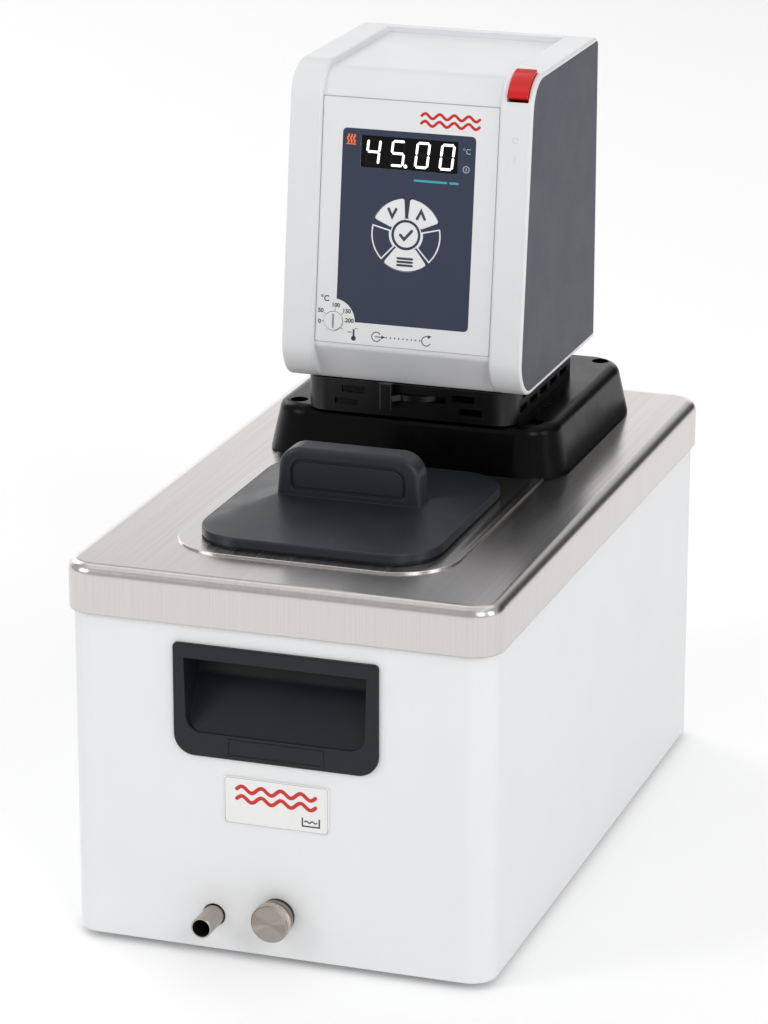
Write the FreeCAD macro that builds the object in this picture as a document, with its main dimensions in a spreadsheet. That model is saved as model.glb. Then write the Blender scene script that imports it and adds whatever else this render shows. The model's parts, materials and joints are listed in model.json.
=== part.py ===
import FreeCAD, Part
import Sketcher

import math
import os

# Benchtop heating circulator: a small stainless steel bath in a painted casing, with a
# control head, pump and heater on a bridge across its rear half.  Millimetres, +Z up,
# front towards -Y, origin at the middle of the footprint on the surface it stands on.

# ---------------------------------------------------------------- driving dimensions

SIZES = {
    # outside of the bath
    "cover_width": (230, "steel cover, side to side"),
    "cover_length": (394, "steel cover, front to back"),
    "cover_top": (204, "top of the steel cover above the table"),
    "cover_skirt": (25.5, "height of the cover's turned-down skirt"),
    "cover_corner": (16, "cover corner radius in plan"),
    "cover_edge": (5.5, "radius along the cover's top edge"),
    "cover_sheet": (1.0, "cover sheet thickness"),
    "tube_reach": (16, "drain tube tip in front of the cover"),
    "foot_height": (4, "gap under the casing"),
    "foot_radius": (8, "rubber foot radius"),
    "foot_inset": (24, "foot centre to the casing's outside"),
    "casing_inset": (2.5, "casing face behind the cover's skirt"),
    "casing_corner": (13.5, "casing corner radius in plan"),
    "casing_sheet": (1.2, "casing sheet thickness"),
    "base_sheet": (1.5, "base plate thickness"),
    "base_flange": (9, "height of the base plate's turned-up flange"),
    "bracket_length": (30, "cover bracket, along the wall"),
    "bracket_leg": (16, "cover bracket, each leg"),
    # front and rear grips
    "grip_width": (109, "grip frame width"),
    "grip_low": (109, "bottom of the grip frame above the table"),
    "grip_high": (168.5, "top of the grip frame above the table"),
    "grip_proud": (2.2, "grip frame thickness in front of the casing"),
    "grip_depth": (24, "depth of the finger recess behind the casing face"),
    "grip_wall": (2, "wall of the finger recess"),
    "grip_side": (6, "frame width beside the recess at the top"),
    "grip_side_low": (7, "frame width beside the recess at the bottom"),
    "grip_under": (13, "frame height under the recess"),
    "grip_over": (7.5, "frame height over the recess"),
    "grip_mouth_corner": (8, "lower corner radius of the recess"),
    "grip_corner": (11, "lower corner radius of the frame"),
    "grip_corner_top": (2.5, "upper corner radius of the frame"),
    "grip_undercut": (4.5, "how far the recess rises behind the frame's top"),
    # badge plate
    "badge_width": (56, "blank badge width"),
    "badge_low": (74.5, "bottom of the badge above the table"),
    "badge_high": (100, "top of the badge above the table"),
    "badge_sheet": (1.0, "badge thickness"),
    "badge_corner": (5, "badge lower corner radius"),
    # bath
    "rim_overlap": (11, "rim plate beyond the lid, each side"),
    "rim_sheet": (1.0, "rim plate thickness"),
    "rim_corner": (33, "rim plate corner radius"),
    "tank_depth": (150, "depth of the bath below the cover"),
    "tank_sheet": (1.0, "tank sheet thickness"),
    "tank_bend": (10, "radius between the tank's walls and bottom"),
    "tank_flange": (3.5, "tank flange width under the cover"),
    "tank_behind": (79, "tank behind the bridge's front edge"),
    "foam": (12, "insulation thickness"),
    # lid
    "lid_width": (129, "lid width"),
    "lid_front_margin": (45.7, "lid front edge behind the cover's front"),
    "lid_back_margin": (12.8, "lid back edge in front of the bridge"),
    "lid_corner": (28, "lid corner radius"),
    "lid_edge": (4.5, "lid edge thickness"),
    "lid_step": (1.2, "shadow gap under the lid's edge"),
    "lid_overlap": (3, "lid beyond the bath opening, each side"),
    "lid_lip": (6, "depth of the lid's locating lip"),
    "lid_lip_gap": (1.2, "clearance round the locating lip"),
    "lid_rise": (4, "rise of the lid from its edge to the handle"),
    "handle_width": (79, "lid handle width at its base"),
    "handle_depth": (16, "lid handle depth"),
    "handle_height": (26, "lid handle height above the lid's crown"),
    "handle_corner": (12, "handle upper corner radius"),
    "handle_soft": (2.6, "rounding of the handle's edges"),
    "handle_border": (6, "border round the handle's panel"),
    # bridge
    "bridge_side": (20, "bridge beyond the lid at its base, each side"),
    "bridge_length": (161, "bridge length at its base"),
    "bridge_margin": (28, "bridge back edge in front of the cover's back"),
    "bridge_height": (27, "bridge height above the rim plate"),
    "bridge_draft": (6, "lean of the bridge's sides over its height"),
    "bridge_corner": (25, "bridge corner radius at the base"),
    "bridge_edge": (6, "radius along the bridge's top edge"),
    "bridge_roof": (4, "thickness of the bridge's top"),
    "bridge_wall": (10, "thickness of the bridge's front and back walls"),
    "bridge_shoulder": (27, "thickness of the bridge's sides"),
    "bridge_hole": (4.75, "screw recess radius"),
    "bridge_hole_depth": (6, "screw recess depth"),
    "bridge_hole_inset": (17.5, "screw recess from the bridge's base edge"),
    "gasket_inset": (2, "gasket inside the bridge's base edge"),
    # control head
    "base_width": (118, "vented base width"),
    "base_length": (118, "vented base length"),
    "base_setback": (3, "vented base behind the bridge's front edge"),
    "base_height": (18, "vented base height"),
    "base_wall": (2.5, "vented base wall"),
    "base_floor": (3, "vented base floor"),
    "base_corner": (12, "vented base corner radius"),
    "head_width": (134, "head width"),
    "head_height": (170, "head height"),
    "head_overhang": (13.2, "head front at its foot, ahead of the bridge"),
    "head_depth": (142.2, "head depth at its foot"),
    "face_tilt": (7.2, "lean of the front face, degrees"),
    "flank_width": (18, "raised flank beside the front panel"),
    "flank_radius": (20, "flank corner radius, front top and front bottom"),
    "head_back_edge": (5, "rounding of the head's top back edge"),
    "flank_edge": (1.4, "rounding of the flank's outer edge"),
    "flank_soft": (2.0, "rounding of the flank's inner edge"),
    "channel_depth": (2.6, "front panel behind the flanks"),
    "tray_depth": (3, "top tray below the border"),
    "tray_border": (12, "border behind the tray"),
    "chin_height": (21, "height of the sloping chin"),
    "chin_run": (13.3, "run of the sloping chin"),
    "head_wall": (3, "head wall thickness"),
    "head_floor": (2.5, "head floor thickness"),
    "panel_sheet": (1.6, "side panel thickness"),
    "panel_margin": (2.2, "white margin round a side panel"),
    "rear_sheet": (3, "rear panel thickness"),
    "fit_gap": (0.3, "clearance between parts that only sit beside each other"),
    "running_gap": (0.05, "radial clearance of a running fit"),
    # front label, measured up the front face from the head's foot
    "label_low": (24.1, "label bottom"),
    "label_high": (155, "label top"),
    "label_sheet": (0.6, "label thickness"),
    "label_gap": (0.4, "gap between the label and the flanks"),
    "window_width": (53.8, "display window width"),
    "window_low": (118.8, "display window bottom"),
    "window_high": (135.8, "display window top"),
    "window_sheet": (2.4, "display window thickness"),
    "pad_centre": (84.6, "keypad centre"),
    "pad_radius": (19.4, "keypad radius"),
    "centre_key": (6.7, "centre key radius"),
    "sector_inner": (8.7, "inner radius of the ring keys"),
    "key_proud": (0.2, "keys above the label"),
    "key_sheet": (1.5, "key thickness"),
    "key_soft": (1.2, "key corner radius"),
    "key_post": (1.6, "radius of the post behind a key"),
    "key_travel": (0.35, "key travel"),
    "dial_side": (38.6, "cut-out dial left of the middle"),
    "dial_up": (35.6, "cut-out dial centre"),
    "dial_radius": (5, "cut-out dial radius"),
    "dial_proud": (1.0, "cut-out dial above the label"),
    "dial_shaft": (2, "cut-out dial shaft radius"),
    "dial_slot": (1.1, "screwdriver slot width"),
    # mains switch on the right flank
    "switch_width": (11, "rocker width"),
    "switch_proud": (2.2, "rocker above the flank"),
    "switch_side": (58.5, "rocker centre right of the middle"),
    "switch_depth": (9, "rocker depth below the flank"),
    "switch_axle": (1.5, "rocker axle radius"),
    # circulation lever
    "lever_side": (3, "lever axis right of the middle"),
    "lever_setback": (16, "lever axis behind the bridge's front edge"),
    "lever_disc": (16, "lever disc radius"),
    "lever_sheet": (3, "lever disc thickness"),
    "lever_level": (10, "underside of the lever disc above the base's foot"),
    "tab_side": (13.6, "lever tab left of the lever's axis"),
    "tab_reach": (20, "lever tab's front face ahead of the lever's axis"),
    "tab_width": (7, "lever tab width"),
    "tab_height": (14, "lever tab height"),
    "lever_shaft": (2.5, "lever shaft radius"),
    # pump unit
    "axis_setback": (40, "motor and pump axis behind the bridge's front edge"),
    "shaft_radius": (4, "drive shaft radius"),
    "unit_plate": (2, "steel plate under the head"),
    "unit_width": (96, "steel plate width"),
    "unit_length": (62, "steel plate length"),
    "unit_setback": (8, "steel plate behind the bridge's front edge"),
    "pump_radius": (24, "pump housing radius"),
    "pump_low": (75, "pump housing bottom above the table"),
    "pump_height": (25, "pump housing with its cover"),
    "pump_wall": (3, "pump housing wall"),
    "pump_lid": (4, "pump cover thickness"),
    "impeller_radius": (18, "impeller radius"),
    "column_radius": (3, "pump column radius"),
    "column_ring": (20, "pump columns from the axis"),
    "pipe_radius": (4, "pump pipe radius"),
    "pipe_bore": (3, "pump pipe bore radius"),
    "pipe_bend": (12, "pump pipe bend radius"),
    "pipe_side": (17, "pump pipes from the middle"),
    "pipe_setback": (46, "pump pipes behind the bridge's front edge"),
    "port_level": (12, "port centre above the bridge's base"),
    "port_radius": (8, "pump port outer radius"),
    "port_bore": (5, "pump port bore radius"),
    "port_reach": (22, "pump port beyond the bridge's base edge"),
    "port_collar": (9, "pump port collar radius, through the bridge's wall"),
    "port_flange": (10.5, "pump port flange radius"),
    "coil_radius": (29.5, "heater coil radius"),
    "coil_tube": (3.5, "heater tube radius"),
    "coil_pitch": (10, "heater coil pitch"),
    "coil_turns": (3, "heater coil turns"),
    "coil_low": (67, "heater coil's lowest turn above the table"),
    "float_radius": (9, "float radius"),
    "float_height": (14, "float height"),
    "float_side": (44, "float left of the middle"),
    "float_setback": (26, "float behind the bridge's front edge"),
    "float_travel": (10, "float travel on its stem"),
    "stem_radius": (2.5, "float stem radius"),
    "probe_radius": (2, "temperature probe radius"),
    # motor
    "stator_radius": (30, "motor stator radius"),
    "stator_height": (58, "motor stator height"),
    "rotor_radius": (16, "motor rotor radius"),
    "rotor_gap": (0.6, "air gap"),
    "bearing_radius": (11, "bearing outer radius"),
    "bearing_width": (7, "bearing width"),
    "bracket_sheet": (3.5, "motor bracket thickness"),
    "fan_radius": (26, "fan radius"),
    # drain
    "drain_side": (34.6, "drain tube left of the middle"),
    "drain_level": (22.5, "drain tube centre above the table"),
    "drain_radius": (5.5, "drain tube radius"),
    "tube_gap": (0.6, "gap round the drain tube in the casing"),
    "drain_wall": (0.8, "drain tube wall"),
    "knob_level": (27, "drain knob centre above the table"),
    "knob_radius": (10, "drain knob radius"),
    "knob_reach": (13, "drain knob in front of the casing"),
    "knob_band": (6, "drain knob's knurled band"),
    "neck_radius": (6.5, "drain knob neck radius"),
    "spindle_radius": (3, "valve spindle radius"),
    "thread_radius": (2, "valve spindle's threaded end"),
    "valve_depth": (25, "valve block, front to back"),
    "valve_gap": (2.3, "valve block behind the casing's inside"),
    "chamber_radius": (7, "valve chamber radius"),
    "chamber_length": (16, "valve chamber length"),
    "plug_radius": (6, "valve plug radius"),
    "plug_length": (10, "valve plug length"),
    "hose_radius": (5, "drain pipe radius"),
    "hose_bore": (4, "drain pipe bore radius"),
    "hose_bend": (12, "drain pipe bend radius"),
    "outlet_setback": (76, "bath outlet behind the cover's front"),
}

SHEET = "Sizes"


class Size:
    """A length with its number and the spreadsheet expression that gives it."""

    def __init__(self, text, value):
        self.text = text
        self.value = float(value)

    def _with(self, sign, other, value, swapped=False):
        pair = (text_of(other), self.text) if swapped else (self.text, text_of(other))
        return Size(f"({pair[0]} {sign} {pair[1]})", value)

    def __add__(self, other):
        return self._with("+", other, self.value + number(other))

    def __radd__(self, other):
        return self._with("+", other, number(other) + self.value, swapped=True)

    def __sub__(self, other):
        return self._with("-", other, self.value - number(other))

    def __rsub__(self, other):
        return self._with("-", other, number(other) - self.value, swapped=True)

    def __mul__(self, other):
        return self._with("*", other, self.value * number(other))

    def __rmul__(self, other):
        return self._with("*", other, number(other) * self.value, swapped=True)

    def __truediv__(self, other):
        return self._with("/", other, self.value / number(other))

    def __rtruediv__(self, other):
        return self._with("/", other, number(other) / self.value, swapped=True)

    def __neg__(self):
        return Size(f"(-1 * {self.text})", -self.value)


def number(size):
    return size.value if isinstance(size, Size) else float(size)


def text_of(size):
    return size.text if isinstance(size, Size) else repr(float(size))


def cosine(degrees):
    return Size(f"cos({text_of(degrees)} * 1 deg)", math.cos(math.radians(number(degrees))))


def sine(degrees):
    return Size(f"sin({text_of(degrees)} * 1 deg)", math.sin(math.radians(number(degrees))))


def arctangent(rise, run):
    """The angle, in degrees, whose tangent is rise over run."""
    return Size(f"(atan({text_of(rise)} / {text_of(run)}) / 1 deg)",
                math.degrees(math.atan2(number(rise), number(run))))


class Dimensions:
    """Attribute access to the spreadsheet: dims.cover_width is a Size."""

    def __getattr__(self, name):
        if name not in SIZES:
            raise AttributeError(name)
        return Size(f"{SHEET}.{name}", SIZES[name][0])


doc = FreeCAD.newDocument("heating_circulator")
dims = Dimensions()
nodes = []


def write_sheet():
    sheet = doc.addObject("Spreadsheet::Sheet", SHEET)
    for row, (name, (value, meaning)) in enumerate(SIZES.items(), start=1):
        sheet.set(f"A{row}", name)
        sheet.set(f"B{row}", str(value))
        sheet.set(f"C{row}", meaning)
        sheet.setAlias(f"B{row}", name)
    doc.recompute()


def bind(obj, path, size):
    """Drive one property of an object by the spreadsheet."""
    obj.setExpression(path, text_of(size))


def node(obj, name):
    """Name a finished sub-part and put it on the list that is written out."""
    obj.Label = name
    nodes.append(obj)
    return obj


# ---------------------------------------------------------------- modelling helpers

# A sketch on the XZ plane faces -Y; the others face along their plane's positive axis.
PLANE_SIDE = {"XY": 1, "XZ": -1, "YZ": 1}


def new_body(name):
    return doc.addObject("PartDesign::Body", name)


def new_sketch(body, plane, level):
    """An empty sketch parallel to one of the body's origin planes, at a level on the third axis."""
    sketch = body.newObject("Sketcher::SketchObject", f"{body.Name}_sketch")
    origin = next(item for item in body.Origin.OriginFeatures if item.Role == f"{plane}_Plane")
    sketch.AttachmentSupport = (origin, [""])
    sketch.MapMode = "FlatFace"
    bind(sketch, "AttachmentOffset.Base.z", level * PLANE_SIDE[plane])
    return sketch


def pin_point(sketch, geometry, vertex, x, y):
    """Hold a point at x, y from the sketch's origin."""
    for kind, size in (("DistanceX", x), ("DistanceY", y)):
        index = sketch.addConstraint(Sketcher.Constraint(kind, -1, 1, geometry, vertex, number(size)))
        bind(sketch, f"Constraints[{index}]", size)


def add_outline(sketch, corners):
    """A closed outline from its corners (x, y, radius); a radius of 0 leaves the corner sharp."""
    count = len(corners)
    spots = [FreeCAD.Vector(number(x), number(y), 0) for x, y, _ in corners]
    starts, ends, centres = [], [], []
    for i, (_, _, radius) in enumerate(corners):
        here, before, after = spots[i], spots[i - 1], spots[(i + 1) % count]
        back = (before - here).normalize()
        ahead = (after - here).normalize()
        reach = number(radius) / math.tan(back.getAngle(ahead) / 2)
        starts.append(here + back * reach)
        ends.append(here + ahead * reach)
        middle = back + ahead
        if number(radius) > 0:
            middle.normalize()
            centres.append(here + middle * (number(radius) / math.sin(back.getAngle(ahead) / 2)))
        else:
            centres.append(None)
    lines = []
    for i in range(count):
        lines.append(sketch.addGeometry(Part.LineSegment(ends[i], starts[(i + 1) % count]), False))
    for i, (x, y, radius) in enumerate(corners):
        line_in, line_out = lines[i - 1], lines[i]
        if centres[i] is None:
            sketch.addConstraint(Sketcher.Constraint("Coincident", line_in, 2, line_out, 1))
            pin_point(sketch, line_out, 1, x, y)
            continue
        first, last, centre = starts[i], ends[i], centres[i]
        turn = (first - centre).cross(last - centre).z
        begin, finish = (first, last) if turn > 0 else (last, first)
        angles = [math.atan2(p.y - centre.y, p.x - centre.x) for p in (begin, finish)]
        if angles[1] < angles[0]:
            angles[1] += 2 * math.pi
        circle = Part.Circle(centre, FreeCAD.Vector(0, 0, 1), number(radius))
        arc = sketch.addGeometry(Part.ArcOfCircle(circle, angles[0], angles[1]), False)
        side_in, side_out = (1, 2) if turn > 0 else (2, 1)
        sketch.addConstraint(Sketcher.Constraint("Tangent", line_in, 2, arc, side_in))
        sketch.addConstraint(Sketcher.Constraint("Tangent", arc, side_out, line_out, 1))
        index = sketch.addConstraint(Sketcher.Constraint("Radius", arc, number(radius)))
        bind(sketch, f"Constraints[{index}]", radius)
        point = sketch.addGeometry(Part.Point(spots[i]), True)
        sketch.addConstraint(Sketcher.Constraint("PointOnObject", point, 1, line_in))
        sketch.addConstraint(Sketcher.Constraint("PointOnObject", point, 1, line_out))
        pin_point(sketch, point, 1, x, y)


def add_circle(sketch, x, y, radius):
    centre = FreeCAD.Vector(number(x), number(y), 0)
    circle = Part.Circle(centre, FreeCAD.Vector(0, 0, 1), number(radius))
    index = sketch.addGeometry(circle, False)
    pin_point(sketch, index, 3, x, y)
    radius_index = sketch.addConstraint(Sketcher.Constraint("Radius", index, number(radius)))
    bind(sketch, f"Constraints[{radius_index}]", radius)


def filled_sketch(body, plane, level, outlines, circles):
    sketch = new_sketch(body, plane, level)
    for corners in outlines:
        add_outline(sketch, corners)
    for circle in circles:
        add_circle(sketch, *circle)
    return sketch


def pad(body, plane, low, high, outlines=(), circles=()):
    """Add material between two levels of a plane's third axis."""
    sketch = filled_sketch(body, plane, low, outlines, circles)
    feature = body.newObject("PartDesign::Pad", f"{body.Name}_pad")
    feature.Profile = sketch
    feature.Reversed = PLANE_SIDE[plane] < 0
    bind(feature, "Length", high - low)
    doc.recompute()
    return feature


def pocket(body, plane, low, high, outlines=(), circles=()):
    """Remove material between two levels of a plane's third axis."""
    before = body.Shape.Volume
    sketch = filled_sketch(body, plane, low, outlines, circles)
    feature = body.newObject("PartDesign::Pocket", f"{body.Name}_pocket")
    feature.Profile = sketch
    feature.Type = "Length"
    feature.Reversed = PLANE_SIDE[plane] > 0
    bind(feature, "Length", high - low)
    doc.recompute()
    if body.Shape.Volume >= before - 1e-6:
        raise RuntimeError(f"{body.Name}: a pocket removed nothing")
    return feature


def soften(body, radius, chosen, kind="Fillet"):
    """Round or chamfer the edges of the body that the test picks."""
    base = body.Tip
    names = [f"Edge{i}" for i, edge in enumerate(base.Shape.Edges, start=1) if chosen(edge)]
    if not names:
        raise RuntimeError(f"{body.Name}: no edge to soften")
    feature = body.newObject(f"PartDesign::{kind}", f"{body.Name}_{kind.lower()}")
    feature.Base = (base, names)
    bind(feature, "Radius" if kind == "Fillet" else "Size", radius)
    doc.recompute()
    if "Invalid" in feature.State:
        raise RuntimeError(f"{body.Name}: {len(names)} edges could not be softened")
    return feature


def faces_of(feature, chosen):
    return [f"Face{i}" for i, face in enumerate(feature.Shape.Faces, start=1) if chosen(face)]


def level_span(face):
    """How far a face reaches in height."""
    return face.BoundBox.ZMax - face.BoundBox.ZMin


def lies_at(edge, axis, level):
    """True for an edge that stays at one level of an axis (0, 1 or 2)."""
    box = edge.BoundBox
    low = (box.XMin, box.YMin, box.ZMin)[axis]
    high = (box.XMax, box.YMax, box.ZMax)[axis]
    return abs(low - number(level)) < 1e-4 and abs(high - number(level)) < 1e-4


def runs_along(edge, axis):
    """True for a straight edge parallel to an axis (0, 1 or 2)."""
    if edge.Curve.TypeId != "Part::GeomLine":
        return False
    return abs(abs(edge.Curve.Direction[axis]) - 1) < 1e-6


def box_corners(x_low, x_high, y_low, y_high, radius=0.0):
    return [(x_low, y_low, radius), (x_high, y_low, radius),
            (x_high, y_high, radius), (x_low, y_high, radius)]


def centred(width, y_low, y_high, radius=0.0):
    """Corners of a rounded rectangle that is centred on the other axis."""
    return box_corners(-width / 2, width / 2, y_low, y_high, radius)


def turned_body(name, profile, at=(0, 0, 0), along="Z"):
    """A lathe-turned piece: a closed profile of (radius, height) round an axis.

    The axis starts at the point given and runs along +Z, or along +Y for along="Y".
    """
    body = new_body(name)
    sketch = new_sketch(body, "XZ", Size("0", 0))
    add_outline(sketch, [(r, height, 0.0) for r, height in profile])
    feature = body.newObject("PartDesign::Revolution", f"{name}_turn")
    feature.Profile = sketch
    feature.ReferenceAxis = (sketch, ["V_Axis"])
    feature.Angle = 360
    place(body, at)
    if along == "Y":
        body.Placement.Rotation = FreeCAD.Rotation(FreeCAD.Vector(1, 0, 0), -90)
    doc.recompute()
    return body


def place(obj, at):
    for axis, size in zip("xyz", at):
        bind(obj, f"Placement.Base.{axis}", size)


def rod(name, radius, low, high, x, y, bore=None):
    """An upright rod or tube between two heights."""
    inner = 0.0 if bore is None else bore
    profile = [(inner, low), (radius, low), (radius, high), (inner, high)]
    return turned_body(name, profile, (x, y, 0))


def group(name, members):
    compound = doc.addObject("Part::Compound", name)
    compound.Links = members
    doc.recompute()
    return node(compound, name)


def cut(name, base, tool):
    result = doc.addObject("Part::Cut", name)
    result.Base = base
    result.Tool = tool
    doc.recompute()
    return node(result, name)


def tilted_body(name):
    """A body in the front face's own frame: X across, Z up the face, +Y into the head."""
    body = new_body(name)
    place(body, (0, head_front, head_foot))
    body.Placement.Rotation = FreeCAD.Rotation(FreeCAD.Vector(-1, 0, 0), dims.face_tilt.value)
    bind(body, "Placement.Rotation.Angle", dims.face_tilt)
    return body


# ---------------------------------------------------------------- places that pieces share

cover_front = (dims.tube_reach - dims.cover_length) / 2
cover_back = cover_front + dims.cover_length
cover_under = dims.cover_top - dims.cover_sheet
casing_front = cover_front + dims.casing_inset
casing_back = cover_back - dims.casing_inset
casing_width = dims.cover_width - 2 * dims.casing_inset
casing_top = dims.cover_top - dims.cover_edge
casing_inner_width = casing_width - 2 * dims.casing_sheet
casing_inner_corner = dims.casing_corner - dims.casing_sheet
wall_front = casing_front + dims.casing_sheet
wall_back = casing_back - dims.casing_sheet

bridge_back = cover_back - dims.bridge_margin
bridge_front = bridge_back - dims.bridge_length
rim_top = dims.cover_top + dims.rim_sheet
bridge_top = rim_top + dims.bridge_height
roof_under = bridge_top - dims.bridge_roof

lid_front = cover_front + dims.lid_front_margin
lid_back = bridge_front - dims.lid_back_margin
mouth_width = dims.lid_width - 2 * dims.lid_overlap
bridge_width = dims.lid_width + 2 * dims.bridge_side
mouth_front = lid_front + dims.lid_overlap
mouth_back = lid_back - dims.lid_overlap
mouth_corner = dims.lid_corner - dims.lid_overlap
tank_back = bridge_front + dims.tank_behind
tank_floor = dims.cover_top - dims.tank_depth + dims.tank_sheet
tank_under = tank_floor - dims.tank_sheet

head_foot = bridge_top + dims.base_height
head_top = head_foot + dims.head_height
head_front = bridge_front - dims.head_overhang
head_back = head_front + dims.head_depth
base_front = bridge_front + dims.base_setback
axis_y = bridge_front + dims.axis_setback
lever_y = bridge_front + dims.lever_setback
pipe_y = bridge_front + dims.pipe_setback
pump_top = dims.pump_low + dims.pump_height
unit_low = bridge_top - dims.unit_plate

drain_tube_tip = cover_front - dims.tube_reach
valve_front = wall_front + dims.valve_gap
valve_back = valve_front + dims.valve_depth
chamber_back = valve_back - 4
chamber_front = chamber_back - dims.chamber_length


# ---------------------------------------------------------------- bath and casing

def corner_spots(inset):
    """The four places at one inset from the casing's corners."""
    across = casing_width / 2 - inset
    for x in (-across, across):
        for y in (casing_front + inset, casing_back - inset):
            yield x, y


def grip_outline(grow=0.0):
    """The grip frame seen from the front, as corners (x, z, radius)."""
    half = dims.grip_width / 2 + grow
    low, high = dims.grip_low - grow, dims.grip_high + grow
    return [(-half, low, dims.grip_corner), (half, low, dims.grip_corner),
            (half, high, dims.grip_corner_top), (-half, high, dims.grip_corner_top)]


def grip_box(grow=0.0):
    """The recess box behind the frame, seen from the front."""
    half = dims.grip_width / 2 - dims.grip_side + dims.grip_wall + grow
    low = dims.grip_low + dims.grip_under - dims.grip_wall - grow
    high = dims.grip_high - dims.grip_over + dims.grip_undercut + dims.grip_wall + grow
    return box_corners(-half, half, low, high, 2.0)


def make_casing():
    body = new_body("casing")
    outer = centred(casing_width, casing_front, casing_back, dims.casing_corner)
    inner = centred(casing_inner_width, wall_front, wall_back, casing_inner_corner)
    pad(body, "XY", dims.foot_height, casing_top, [outer, inner])
    for low, high in ((casing_front - 1, wall_front + 1), (wall_back - 1, casing_back + 1)):
        pocket(body, "XZ", low, high, [grip_box(dims.fit_gap)])
    holes = [(-dims.drain_side, dims.drain_level, dims.drain_radius + dims.tube_gap),
             (0.0, dims.knob_level, dims.neck_radius + 1)]
    pocket(body, "XZ", casing_front - 1, wall_front + 1, circles=holes)
    node(body, "casing")


def make_base_plate():
    body = new_body("base_plate")
    outer = centred(casing_inner_width, wall_front, wall_back, casing_inner_corner)
    sheet = dims.base_sheet
    inner = centred(casing_inner_width - 2 * sheet, wall_front + sheet, wall_back - sheet,
                    casing_inner_corner - sheet)
    floor_top = dims.foot_height + sheet
    pad(body, "XY", dims.foot_height, floor_top, [outer])
    pad(body, "XY", floor_top, dims.foot_height + dims.base_flange, [outer, inner])
    spots = [(x, y, 2.2) for x, y in corner_spots(dims.foot_inset)]
    pocket(body, "XY", dims.foot_height - 1, floor_top + 1, circles=spots)
    node(body, "base_plate")


def make_feet():
    recess, hole = 4.4, 2.2
    profile = [(hole, 2.2), (recess, 2.2), (recess, 0.0), (dims.foot_radius - 0.8, 0.0),
               (dims.foot_radius, 0.8), (dims.foot_radius, dims.foot_height), (hole, dims.foot_height)]
    feet = [turned_body("foot", profile, (x, y, 0)) for x, y in corner_spots(dims.foot_inset)]
    group("feet", feet)
    head, shank = 4.0, 2.0
    screw = [(0.0, 0.6), (head - 0.6, 0.6), (head, 1.0), (head, 2.2), (shank, 2.2),
             (shank, dims.foot_height + dims.base_sheet + 4), (0.0, dims.foot_height + dims.base_sheet + 4)]
    screws = [turned_body("foot_screw", screw, (x, y, 0)) for x, y in corner_spots(dims.foot_inset)]
    group("foot_screws", screws)


def make_top_cover():
    skirt_foot = dims.cover_top - dims.cover_skirt
    body = new_body("cover_shell")
    pad(body, "XY", skirt_foot, dims.cover_top,
        [centred(dims.cover_width, cover_front, cover_back, dims.cover_corner)])
    soften(body, dims.cover_edge, lambda edge: lies_at(edge, 2, dims.cover_top))
    opening_grow = 0.5
    opening = centred(mouth_width + 2 * opening_grow, mouth_front - opening_grow,
                      tank_back + opening_grow, mouth_corner)
    pocket(body, "XY", skirt_foot - 1, dims.cover_top + 1, [opening],
           [(x, y, 2.0) for x, y in bridge_screw_spots()])
    sheet = dims.cover_sheet
    core = new_body("cover_core")
    pad(core, "XY", skirt_foot - 1, cover_under,
        [centred(dims.cover_width - 2 * sheet, cover_front + sheet, cover_back - sheet,
                 dims.cover_corner - sheet)])
    soften(core, dims.cover_edge - sheet, lambda edge: lies_at(edge, 2, cover_under))
    cut("top_cover", body, core)


def make_cover_brackets():
    """Angle brackets that join the casing's walls to the underside of the cover."""
    sheet = 1.5
    wall_x = casing_inner_width / 2
    half = dims.bracket_length / 2
    members = []
    for side in (-1, 1):
        for y in (casing_front + dims.cover_length / 4, casing_back - dims.cover_length / 4):
            body = new_body("bracket")
            profile = [(side * wall_x, casing_top - dims.bracket_leg, 0.0),
                       (side * wall_x, casing_top, 0.0),
                       (side * (wall_x - dims.cover_edge), cover_under, 0.0),
                       (side * (wall_x - dims.bracket_leg), cover_under, 0.0),
                       (side * (wall_x - dims.bracket_leg), cover_under - sheet, 0.0),
                       (side * (wall_x - dims.cover_edge - sheet), cover_under - sheet, 0.0),
                       (side * (wall_x - sheet), casing_top - sheet, 0.0),
                       (side * (wall_x - sheet), casing_top - dims.bracket_leg, 0.0)]
            pad(body, "XZ", y - half, y + half, [profile])
            members.append(body)
    group("cover_brackets", members)


def make_rim():
    body = new_body("bath_rim")
    plate_back = tank_back + dims.tank_flange + 8
    half = dims.lid_width / 2 + dims.rim_overlap
    front = lid_front - dims.rim_overlap + 1.5
    outline = [(-half, front, dims.rim_corner), (half, front, dims.rim_corner),
               (half, plate_back, 15.0), (-half, plate_back, 15.0)]
    pad(body, "XY", dims.cover_top, rim_top, [outline])
    soften(body, 0.35, lambda edge: lies_at(edge, 2, rim_top))
    mouth = centred(mouth_width, mouth_front, mouth_back, mouth_corner)
    well = centred(dims.unit_width + 8, bridge_front + 5, tank_back - 4, 8.0)
    pocket(body, "XY", dims.cover_top - 1, rim_top + 1, [mouth, well],
           [(x, y, 2.0) for x, y in bridge_screw_spots()][::2])
    node(body, "bath_rim")


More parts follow.
